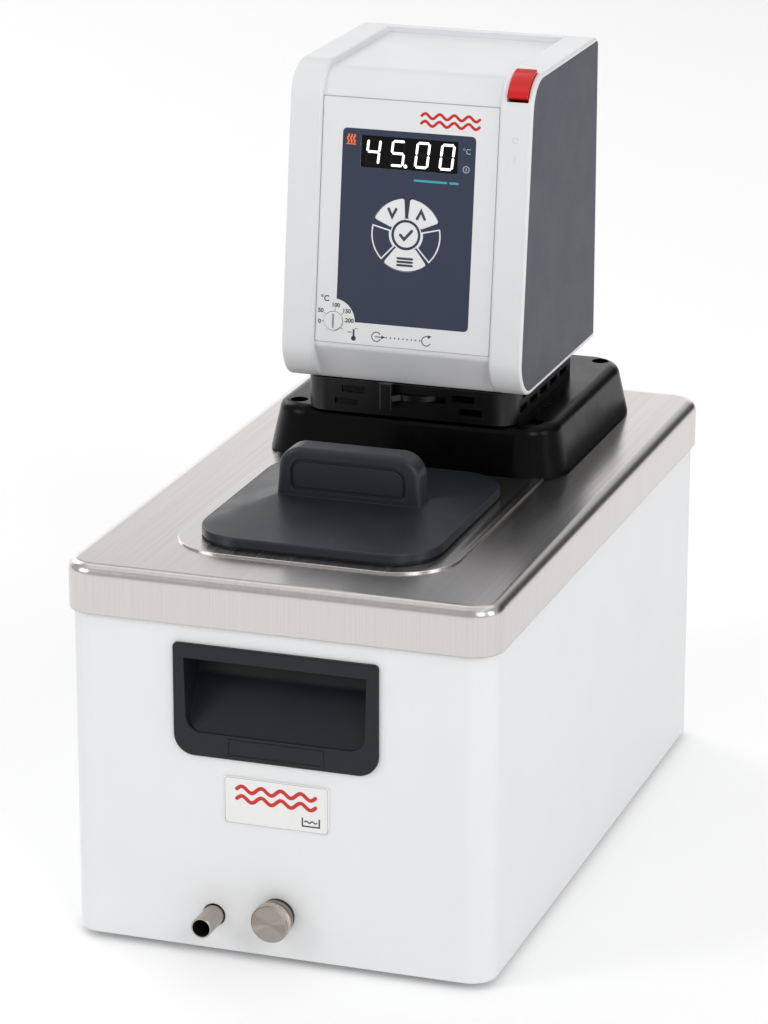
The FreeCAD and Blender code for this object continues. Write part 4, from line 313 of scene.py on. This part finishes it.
FACE_TILT = math.radians(7.2)
HEAD_FRONT = 2.8
HEAD_FOOT = 250.0
LABEL_LEVEL = 2.0      # the label's surface behind the flanks
PRINT = 0.03           # thickness of printed ink
PAD_UP = 84.6          # keypad centre up the face
FONT_SIZE = 1.38       # font size over the height of its figures
PAD_HOLE = 19.7        # radius of the label's hole for the keypad
WEB_EDGE = 19.68       # outer radius of the fields between the keys
WEB_INNER = 8.55       # inner radius of the same fields
CORE_EDGE = 6.85       # radius of the hole round the centre key


def face_matrix(x, up, depth):
    """Places a mark on the leaning front: its X runs across, its Y up the face, its Z out of it."""
    c, s = math.cos(FACE_TILT), math.sin(FACE_TILT)
    spot = Vector((x, HEAD_FRONT + depth * c + up * s, HEAD_FOOT - depth * s + up * c)) * MM
    across, upward = Vector((1, 0, 0)), Vector((0, s, c))
    out = across.cross(upward)
    return Matrix.Translation(spot) @ Matrix((across, upward, out)).transposed().to_4x4()


def front_matrix(x, z, y):
    """The same for an upright surface that faces the user."""
    across, upward, out = Vector((1, 0, 0)), Vector((0, 0, 1)), Vector((0, -1, 0))
    turn = Matrix((across, upward, out)).transposed().to_4x4()
    return Matrix.Translation(Vector((x, y, z)) * MM) @ turn


def ink(name, code, roughness=0.35, glow=0.0):
    s = Surface(name, code, roughness)
    s.tint(s.noise(9), 0.97, 1.03)
    s.bump(s.noise(0.4), 0.004, 0.4)
    if glow:
        s.set("Emission Color", (*paint(code), 1.0))
        s.set("Emission Strength", glow)
    return s.material


def prism(bm, loops, low, high):
    """A flat shape between two levels (mm). The first loop is its outline, the others are holes."""
    walls = []
    for loop in loops:
        count = len(loop)
        bottom = [bm.verts.new((x * MM, y * MM, low * MM)) for x, y in loop]
        top = [bm.verts.new((x * MM, y * MM, high * MM)) for x, y in loop]
        for i in range(count):
            k = (i + 1) % count
            bm.faces.new((bottom[i], bottom[k], top[k], top[i]))
        walls.append((bottom, top))
    for side in (0, 1):
        edges = []
        for pair in walls:
            ring = pair[side]
            edges += [bm.edges.get((ring[i], ring[(i + 1) % len(ring)])) for i in range(len(ring))]
        if len(loops) == 1:
            bm.faces.new(walls[0][side])
        else:
            bmesh.ops.triangle_fill(bm, edges=edges, use_beauty=True)


def piece(name, shapes, matrix, material, body=ROOT, low=0.0, high=PRINT):
    """One object from flat shapes in the matrix's plane; it rides on a body."""
    bm = bmesh.new()
    for shape in shapes:
        loops = shape if isinstance(shape[0][0], (list, tuple)) else [shape]
        prism(bm, loops, low, high)
    bmesh.ops.recalc_face_normals(bm, faces=bm.faces)
    return solid(name, bm, matrix, material, body)


def solid(name, bm, matrix, material, body=ROOT):
    """One object from a mesh in the matrix's space; it rides on a body."""
    mesh = bpy.data.meshes.new(name)
    bm.to_mesh(mesh)
    bm.free()
    mesh.transform(matrix)
    mesh.materials.append(material)
    obj = bpy.data.objects.new(name, mesh)
    bpy.context.scene.collection.objects.link(obj)
    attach(obj, body)
    return obj


def arc(cx, cy, radius, start, end, steps=24):
    return [(cx + radius * math.cos(math.radians(start + (end - start) * i / steps)),
             cy + radius * math.sin(math.radians(start + (end - start) * i / steps)))
            for i in range(steps + 1)]


def circle(cx, cy, radius, steps=48):
    return arc(cx, cy, radius, 0, 360, steps)[:-1]


def rounded_box(x0, x1, y0, y1, radius):
    """Outline of a rounded rectangle, anticlockwise from its lower left corner."""
    radius = max(radius, 0.01)
    spots = ((x0 + radius, y0 + radius, 180), (x1 - radius, y0 + radius, 270),
             (x1 - radius, y1 - radius, 0), (x0 + radius, y1 - radius, 90))
    return [p for cx, cy, a in spots for p in arc(cx, cy, radius, a, a + 90, 8)]


def stroke(points, width):
    """Outline of a line of a given width through points, with round ends."""
    half = width / 2
    pts = [Vector(p) for p in points]
    left, right = [], []
    for i, p in enumerate(pts):
        into = (p - pts[i - 1]).normalized() if i else (pts[1] - p).normalized()
        out = (pts[i + 1] - p).normalized() if i < len(pts) - 1 else into
        run = (into + out).normalized()
        reach = half / max(0.35, run.dot(into))
        side = Vector((-run.y, run.x)) * reach
        left.append(tuple(p + side))
        right.append(tuple(p - side))
    head = math.degrees(math.atan2(*(pts[-1] - pts[-2]).yx))
    tail = math.degrees(math.atan2(*(pts[0] - pts[1]).yx))
    cap_end = arc(*pts[-1], half, head - 90, head + 90, 8)[1:-1]
    cap_start = arc(*pts[0], half, tail - 90, tail + 90, 8)[1:-1]
    return [right + cap_end + left[::-1] + cap_start]


def sector(cx, cy, inner, outer, start, end):
    return arc(cx, cy, outer, start, end) + arc(cx, cy, inner, end, start)


def sector_outline(cx, cy, inner, outer, start, end, width):
    """A ring segment's outline as a closed line."""
    half = width / 2
    a = math.degrees(half / outer)
    b = math.degrees(half / inner)
    outside = sector(cx, cy, inner, outer, start, end)
    inside = (arc(cx, cy, outer - width, start + 2 * a, end - 2 * a)
              + arc(cx, cy, inner + width, end - 2 * b, start + 2 * b))
    return [outside, inside]


def wave(x0, x1, y, height, length, steps=40):
    """Points of a sine line."""
    return [(x0 + (x1 - x0) * i / steps,
             y + height * math.sin(2 * math.pi * (x1 - x0) * i / steps / length))
            for i in range(steps + 1)]


def upright_wave(x, y0, y1, width, length, steps=16):
    return [(px, py) for py, px in wave(y0, y1, x, width, length, steps)]


def text_shape(name, text, x, y, height, matrix, material, weight=0.0):
    """A short number or unit sign, centred on x, y in the matrix's plane."""
    curve = bpy.data.curves.new(name, "FONT")
    curve.body = text
    curve.size = height * MM * FONT_SIZE
    curve.align_x, curve.align_y = "CENTER", "CENTER"
    curve.extrude = PRINT * MM / 2
    curve.offset = weight * MM
    curve.resolution_u = 4
    holder = bpy.data.objects.new(name, curve)
    bpy.context.scene.collection.objects.link(holder)
    bpy.context.view_layer.update()
    mesh = bpy.data.meshes.new_from_object(holder)
    bpy.data.objects.remove(holder)
    mesh.transform(matrix @ Matrix.Translation(Vector((x, y, PRINT / 2)) * MM))
    mesh.name = name
    mesh.materials.clear()
    mesh.materials.append(material)
    obj = bpy.data.objects.new(name, mesh)
    bpy.context.scene.collection.objects.link(obj)
    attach(obj, ROOT)
    return obj


# ---------------------------------------------------------------- front label

FIELD = (-37.3, 36.6, 35.8, 139.1)    # left, right, bottom and top of the blue field
DIAL = (-38.6, 35.6)
WINDOW = (-26.9, 26.9, 118.8, 135.8)
DIAL_RING = 12.0

field_blue = ink("field_blue", "29334a", 0.36)
mark_dark = ink("mark_dark", "3a3d45")
mark_shadow = ink("mark_shadow", "a2a5a9", 0.6)
mark_white = ink("mark_white", "e8eaee")
mark_grey = ink("mark_grey", "aeb4bf")
mark_red = ink("mark_red", "c8201a", 0.3)
mark_teal = ink("mark_teal", "3fa3b3", 0.3)
mark_heat = ink("mark_heat", "e0661e", 0.4, glow=0.5)
digit_glow = ink("digit_glow", "ffffff", 0.4, glow=0.9)
digit_off = plastic("digit_off", "0b0b0d", 0.16, 2.0, 0.002, gloss=0.25).material


def field_outline():
    left, right, bottom, top = FIELD
    r = 2.5
    points = arc(right - r, bottom + r, r, 270, 360, 8) + arc(right - r, top - r, r, 0, 90, 8)
    points += arc(left + r, top - r, r, 90, 180, 8)
    cx, cy = DIAL
    first = math.degrees(math.acos((left - cx) / DIAL_RING))
    last = math.degrees(math.asin((bottom - cy) / DIAL_RING))
    points += arc(cx, cy, DIAL_RING, first, last, 16)
    return points


def make_label_print():
    face = face_matrix(0, 0, LABEL_LEVEL)
    window = rounded_box(*WINDOW, 0.05)
    pad_hole = circle(0, PAD_UP, PAD_HOLE, 96)
    piece("label_field", [[field_outline(), window, pad_hole]], face, field_blue)
    between_keys = ((85.5, 94.5), (157.6, 231.4), (308.6, 382.4))
    web = [sector(0, PAD_UP, WEB_INNER, WEB_EDGE, start, end) for start, end in between_keys]
    web.append([circle(0, PAD_UP, WEB_INNER + 0.05), circle(0, PAD_UP, CORE_EDGE)])
    piece("label_web", web, face, field_blue, low=-0.5, high=PRINT)
    # Grey ring round the label on the channel face: painted shadow of the seam gap round the label foil.
    edge = rounded_box(-48.6, 48.6, 24.1, 155.0, 0.3)
    rim = rounded_box(-48.95, 48.95, 23.75, 155.4, 0.4)
    piece("label_seam_shadow", [[rim, edge]], face_matrix(0, 0, 2.6), mark_shadow, low=-0.05, high=PRINT)
    behind = [[circle(0, PAD_UP, outer), circle(0, PAD_UP, inner)]
              for outer, inner in ((10.2, 8.2), (19.65, 17.6))]
    piece("label_backing", behind, face, field_blue, low=-2.0, high=-1.85)
    line = 0.75
    outlines = [sector_outline(0, PAD_UP, 8.75, 19.3, start, end, line)
                for start, end in ((166.5, 226.5), (313.5, 373.5))]
    piece("label_sectors", outlines, face, mark_white, low=PRINT, high=2 * PRINT)
    ring = [[circle(0, PAD_UP, 8.75), circle(0, PAD_UP, 8.1)]]
    piece("label_ring", ring, face, mark_white, low=PRINT, high=2 * PRINT)


def make_icons():
    face = face_matrix(0, 0, LABEL_LEVEL - PRINT)
    heat = [stroke(upright_wave(x, 131.4, 135.6, 0.45, 3.0), 0.75) for x in (-34.2, -32.5, -30.8)]
    heat.append(stroke([(-35.0, 130.6), (-30.0, 130.6)], 0.5))
    piece("icon_heat", heat, face, mark_heat)
    lamp = [[circle(31.7, 121.6, 1.9, 24), circle(31.7, 121.6, 1.45, 24)],
            stroke([(31.7, 120.9), (31.7, 122.3)], 0.45)]
    piece("icon_status", lamp, face, mark_grey)
    text_shape("unit_display", "°C", 31.7, 130.9, 3.0, face, mark_grey)
    accent = [stroke([(3.6, 113.8), (21.0, 113.8)], 1.2), stroke([(23.4, 113.8), (27.4, 113.8)], 1.2)]
    piece("label_accent", accent, face, mark_teal)
    plain = face_matrix(0, 0, LABEL_LEVEL)
    waves = [stroke(wave(6.0, 38.0, y, 1.3, 8.0), 1.5) for y in (148.2, 144.2)]
    piece("label_waves", waves, plain, mark_red)
    low = 29.0
    thermometer = [circle(-27.0, low - 1.9, 1.35, 20),
                   stroke([(-27.0, low - 1.9), (-27.0, low + 2.6)], 1.0),
                   stroke([(-30.0, low + 1.3), (-28.4, low + 1.3)], 0.45),
                   stroke([(-26.2, low + 3.4), (-25.2, low + 3.4)], 0.4)]
    flow = [stroke(arc(-14.2, low, 2.5, 40, 330, 28), 0.5), stroke([(-14.8, low), (-9.8, low)], 0.5),
            [(-11.4, low + 1.0), (-9.2, low), (-11.4, low - 1.0)]]
    flow += [circle(-8.6 + 2.35 * i, low, 0.42, 12) for i in range(9)]
    flow += [stroke(arc(13.8, low, 2.5, 60, 330, 28), 0.5),
             [(14.2, low + 3.2), (16.6, low + 2.9), (15.0, low + 1.2)]]
    piece("icon_thermometer", thermometer, plain, mark_dark)
    piece("icon_flow", flow, plain, mark_dark)


def make_dial_marks():
    plain = face_matrix(0, 0, LABEL_LEVEL)
    cx, cy = DIAL
    ticks = []
    for angle in (186, 143, 84, 40, 2, -38):
        c, s = math.cos(math.radians(angle)), math.sin(math.radians(angle))
        ticks.append(stroke([(cx + 5.7 * c, cy + 5.7 * s), (cx + 6.7 * c, cy + 6.7 * s)], 0.28))
    piece("dial_ticks", ticks, plain, mark_dark)
    numbers = (("0", -7.9, -0.9), ("50", -7.4, 5.0), ("100", 1.0, 8.4),
               ("150", 7.2, 5.6), ("200", 9.0, 0.7))
    for text, dx, dy in numbers:
        text_shape(f"dial_{text}", text, cx + dx, cy + dy, 2.3, plain, mark_dark, weight=0.1)
    text_shape("unit_dial", "°C", cx - 5.2, cy + 11.6, 3.2, plain, mark_dark, weight=0.1)
    top = face_matrix(0, 0, 2.15)
    slot_floor = [rounded_box(cx - 0.5, cx + 0.5, cy - 3.7, cy + 3.7, 0.2)]
    piece("dial_line", slot_floor, top, mark_grey, "cutout_dial", low=0.0, high=0.25)


# Which of the seven bars are lit, in this order:
# top, upper right, lower right, bottom, lower left, upper left, middle.
SEGMENTS = {
    "4": "0110011", "5": "1011011", "0": "1111110"}


def bar(x0, y0, x1, y1, width, lean):
    """One lit bar of a digit: a six-sided bar with cut ends, leaning with the digit."""
    run = Vector((x1 - x0, y1 - y0))
    ahead = run.normalized()
    side = Vector((-ahead.y, ahead.x)) * width / 2
    tip = ahead * width * 0.36
    start, end = Vector((x0, y0)) + ahead * 0.18, Vector((x1, y1)) - ahead * 0.18
    points = [start, start + tip - side, end - tip - side, end, end - tip + side, start + tip + side]
    return [(p.x + lean * p.y, p.y) for p in points]


def make_display_digits():
    face = face_matrix(0, 0, LABEL_LEVEL + 0.15)
    width, height, thick = 6.6, 12.8, 1.3
    lean = math.tan(math.radians(5.0))
    base = 120.9
    lit, dark = [], []
    for index, digit in enumerate("4500"):
        left = -20.6 - width / 2 + 13.65 * index
        half = height / 2
        bars = [(0, height, width, height), (width, half, width, height), (width, 0, width, half),
                (0, 0, width, 0), (0, 0, 0, half), (0, half, 0, height), (0, half, width, half)]
        for flag, (x0, y0, x1, y1) in zip(SEGMENTS[digit], bars):
            points = [(x + left, y + base) for x, y in bar(x0, y0, x1, y1, thick, lean)]
            (lit if flag == "1" else dark).append(points)
    lit.append(circle(-20.6 + 13.65 + width / 2 + 1.7, base - 0.1, 1.0, 20))
    piece("display_digits", lit, face, digit_glow)
    piece("display_bars_off", dark, face, digit_off, high=PRINT / 2)


def make_key_marks():
    face = face_matrix(0, 0, LABEL_LEVEL - 0.2)
    size, thick = 2.1, 1.45

    def chevron(x, y, sign):
        foot, tip = y - sign * size, y + sign * size
        return stroke([(x - size, foot), (x, tip), (x + size, foot)], thick)

    up = PAD_UP + 11.2
    piece("key_up_mark", [chevron(8.0, up, 1)], face, mark_dark, "key_up")
    piece("key_down_mark", [chevron(-8.0, up, -1)], face, mark_dark, "key_down")
    tick = stroke([(-3.0, PAD_UP - 0.2), (-0.9, PAD_UP - 2.4), (3.2, PAD_UP + 2.3)], 1.6)
    piece("key_confirm_mark", [tick], face, mark_dark, "key_confirm")
    rows = [stroke([(-4.0, PAD_UP + y), (4.0, PAD_UP + y)], 1.25) for y in (-12.6, -14.4, -16.2)]
    piece("key_menu_mark", rows, face, mark_dark, "key_menu")


make_label_print()
make_icons()
make_dial_marks()
make_display_digits()
make_key_marks()

# ---------------------------------------------------------------- badge, relief marks, knurl

def make_badge_marks():
    low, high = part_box("name_badge")
    face = front_matrix(0, 0, low.y / MM)
    x0, x1, z0, z1 = low.x / MM, high.x / MM, low.z / MM, high.z / MM
    waves = [stroke(wave(x0 + 7, x1 - 7, z, 1.6, 10.5), 2.0) for z in (z0 + 19.2, z0 + 14.0)]
    piece("badge_waves", waves, face, mark_red)
    cx, cz = x1 - 9.5, z0 + 5.6
    wall = [(cx - 4.5, cz + 2.2), (cx - 4.5, cz - 2.0), (cx + 4.5, cz - 2.0), (cx + 4.5, cz + 2.2)]
    vessel = [stroke(wall, 0.8),
              stroke(wave(cx - 3.2, cx + 3.2, cz + 0.4, 0.5, 3.2, 20), 0.7)]
    piece("badge_vessel", vessel, face, mark_dark)
    inner = rounded_box(x0 + 0.75, x1 - 0.75, z0 + 0.75, z1 - 0.75, 1.2)
    line = rounded_box(x0 + 0.45, x1 - 0.45, z0 + 0.45, z1 - 0.45, 1.4)
    piece("badge_border", [[line, inner]], face, mark_grey)


def make_grip_pads():
    """The plain raised field on each grip's lower border."""
    for name, low_y in (("front_grip", True), ("rear_grip", False)):
        low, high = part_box(name)
        z0 = low.z / MM
        if low_y:
            face = front_matrix(0, 0, low.y / MM)
        else:
            face = Matrix.Rotation(math.pi, 4, "Z") @ front_matrix(0, 0, -high.y / MM)
        field = rounded_box(-26.0, 26.0, z0 + 1.6, z0 + 11.2, 1.0)
        ridge = rounded_box(-24.8, 24.8, z0 + 2.8, z0 + 10.0, 0.6)
        grip = materials["grip_plastic"].material
        piece(f"{name}_pad", [[field, ridge]], face, grip, low=-0.1, high=0.35)


def make_relief_marks():
    """Raised ring and bar below the rocker, in the housing's own colour."""
    face = face_matrix(0, 0, 0.0)
    white = materials["head_white"].material
    ring = [[circle(58.5, 139.0, 1.7, 24), circle(58.5, 139.0, 1.25, 24)]]
    bar_mark = [stroke([(58.5, 127.5), (58.5, 131.0)], 0.5)]
    piece("relief_ring", ring, face, white, low=-0.05, high=0.12)
    piece("relief_bar", bar_mark, face, white, low=-0.05, high=0.12)


def make_knurl():
    """The knob's knurled band as a fine diamond relief."""
    low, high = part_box("drain_knob")
    cx, cz, front = (low.x + high.x) / 2, (low.z + high.z) / 2, low.y
    radius = (high.x - low.x) / 2
    around, along = 288, 14            # points of the relief
    diamonds, diamond_rows = 48, 6
    height, sunk, edge_sunk = 0.42, 0.06, 0.1
    start, end = front + 1.0 * MM, front + 5.4 * MM
    bm = bmesh.new()
    rows = []
    for j in range(along + 1):
        y = start + (end - start) * j / along
        edge = j in (0, along)
        row = []
        for i in range(around):
            u, v = i * diamonds / around, j * diamond_rows / along
            relief = abs((u + v) % 1 - 0.5) + abs((u - v) % 1 - 0.5)
            r = radius + (-edge_sunk if edge else height * relief - sunk) * MM
            a = 2 * math.pi * i / around
            row.append(bm.verts.new((cx + r * math.cos(a), y, cz + r * math.sin(a))))
        rows.append(row)
    for j in range(along):
        for i in range(around):
            k = (i + 1) % around
            bm.faces.new((rows[j][i], rows[j][k], rows[j + 1][k], rows[j + 1][i]))
    bmesh.ops.recalc_face_normals(bm, faces=bm.faces)
    knurl = materials["knurl_steel"].material
    solid("knob_knurl", bm, Matrix.Identity(4), knurl, "drain_knob")


make_badge_marks()
make_grip_pads()
make_relief_marks()
make_knurl()

# ---------------------------------------------------------------- floor, light, camera

def make_floor():
    s = Surface("studio_floor", "fdfdfd", 0.8)
    s.tint(s.noise(900), 0.99, 1.0)
    s.set("Specular IOR Level", 0.2)
    s.set("Emission Color", (1.0, 1.0, 1.0, 1.0))
    s.set("Emission Strength", 0.13)
    bm = bmesh.new()
    bmesh.ops.create_grid(bm, x_segments=1, y_segments=1, size=12)
    mesh = bpy.data.meshes.new("floor")
    bm.to_mesh(mesh)
    bm.free()
    mesh.materials.append(s.material)
    floor = bpy.data.objects.new("floor", mesh)
    bpy.context.scene.collection.objects.link(floor)


BACKDROP = 0.85    # brightness of the white sheet behind the object
ROOM = 0.53        # brightness of the room


def make_world():
    """A studio round the object: a white backdrop behind and beside it, a dim room in front."""
    world = bpy.data.worlds.new("studio")
    world.use_nodes = True
    tree = world.node_tree
    sky = tree.nodes["Background"]
    sky.inputs["Strength"].default_value = 1.0
    place = tree.nodes.new("ShaderNodeTexCoord")
    split = tree.nodes.new("ShaderNodeSeparateXYZ")
    tree.links.new(place.outputs["Generated"], split.inputs["Vector"])

    def span(source, low, high, start, end):
        node = tree.nodes.new("ShaderNodeMapRange")
        node.interpolation_type = "SMOOTHSTEP"
        for socket, value in (("From Min", low), ("From Max", high), ("To Min", start), ("To Max", end)):
            node.inputs[socket].default_value = value
        tree.links.new(source, node.inputs["Value"])
        return node.outputs["Result"]

    def combine(kind, first, second):
        node = tree.nodes.new("ShaderNodeMath")
        node.operation = kind
        tree.links.new(first, node.inputs[0])
        tree.links.new(second, node.inputs[1])
        return node.outputs[0]

    def toward(x, y):
        node = tree.nodes.new("ShaderNodeVectorMath")
        node.operation = "DOT_PRODUCT"
        tree.links.new(place.outputs["Generated"], node.inputs[0])
        node.inputs[1].default_value = Vector((x, y, 0)).normalized()
        return node.outputs["Value"]

    behind = span(toward(-0.5, 0.87), 0.72, 0.90, 0.0, 1.0)
    low_band = span(split.outputs["Z"], 0.27, 0.36, BACKDROP, 0.0)
    backdrop = combine("MULTIPLY", behind, low_band)
    flag = span(toward(0.6, 0.8), 0.75, 0.92, ROOM, 0.15 * ROOM)
    overhead = span(split.outputs["Z"], 0.80, 0.98, 1.0, 0.0)
    level = combine("ADD", backdrop, combine("MULTIPLY", flag, overhead))
    tint = tree.nodes.new("ShaderNodeCombineColor")
    for channel in ("Red", "Green", "Blue"):
        tree.links.new(level, tint.inputs[channel])
    tree.links.new(tint.outputs["Color"], sky.inputs["Color"])
    bpy.context.scene.world = world


def softbox(name, location, target, size, power):
    light = bpy.data.lights.new(name, "AREA")
    light.shape = "RECTANGLE"
    light.size, light.size_y = size
    light.energy = power
    obj = bpy.data.objects.new(name, light)
    obj.location = location
    obj.rotation_euler = (Vector(target) - Vector(location)).to_track_quat("-Z", "Y").to_euler()
    bpy.context.scene.collection.objects.link(obj)
    return obj


def make_light():
    centre = (0, 0, 0.2)
    softbox("top", (0.1, 0.5, 4.2), (0.1, 0.6, 0), (5.0, 5.0), 62)
    softbox("left_front", (-2.6, -2.4, 2.0), centre, (1.4, 1.8), 25)
    softbox("right_front", (2.4, -2.6, 2.2), centre, (1.4, 1.8), 29)
    softbox("right_side", (3.4, -0.6, 1.5), centre, (1.2, 1.8), 17)
    softbox("left_back", (-2.8, 2.0, 2.2), centre, (1.6, 1.8), 24)


def make_camera():
    data = bpy.data.cameras.new("camera")
    data.lens = 144.1
    data.sensor_width = 36
    data.clip_start, data.clip_end = 0.05, 50
    camera = bpy.data.objects.new("camera", data)
    yaw, pitch = math.radians(18.91), math.radians(-18.01)
    camera.location = (0.671, -1.979, 0.864)
    camera.rotation_euler = (math.pi / 2 + pitch, 0, yaw)
    bpy.context.scene.collection.objects.link(camera)
    bpy.context.scene.camera = camera


make_floor()
make_world()
make_light()
make_camera()
view = bpy.context.scene.view_settings
view.view_transform = "Standard"
view.look = "None"
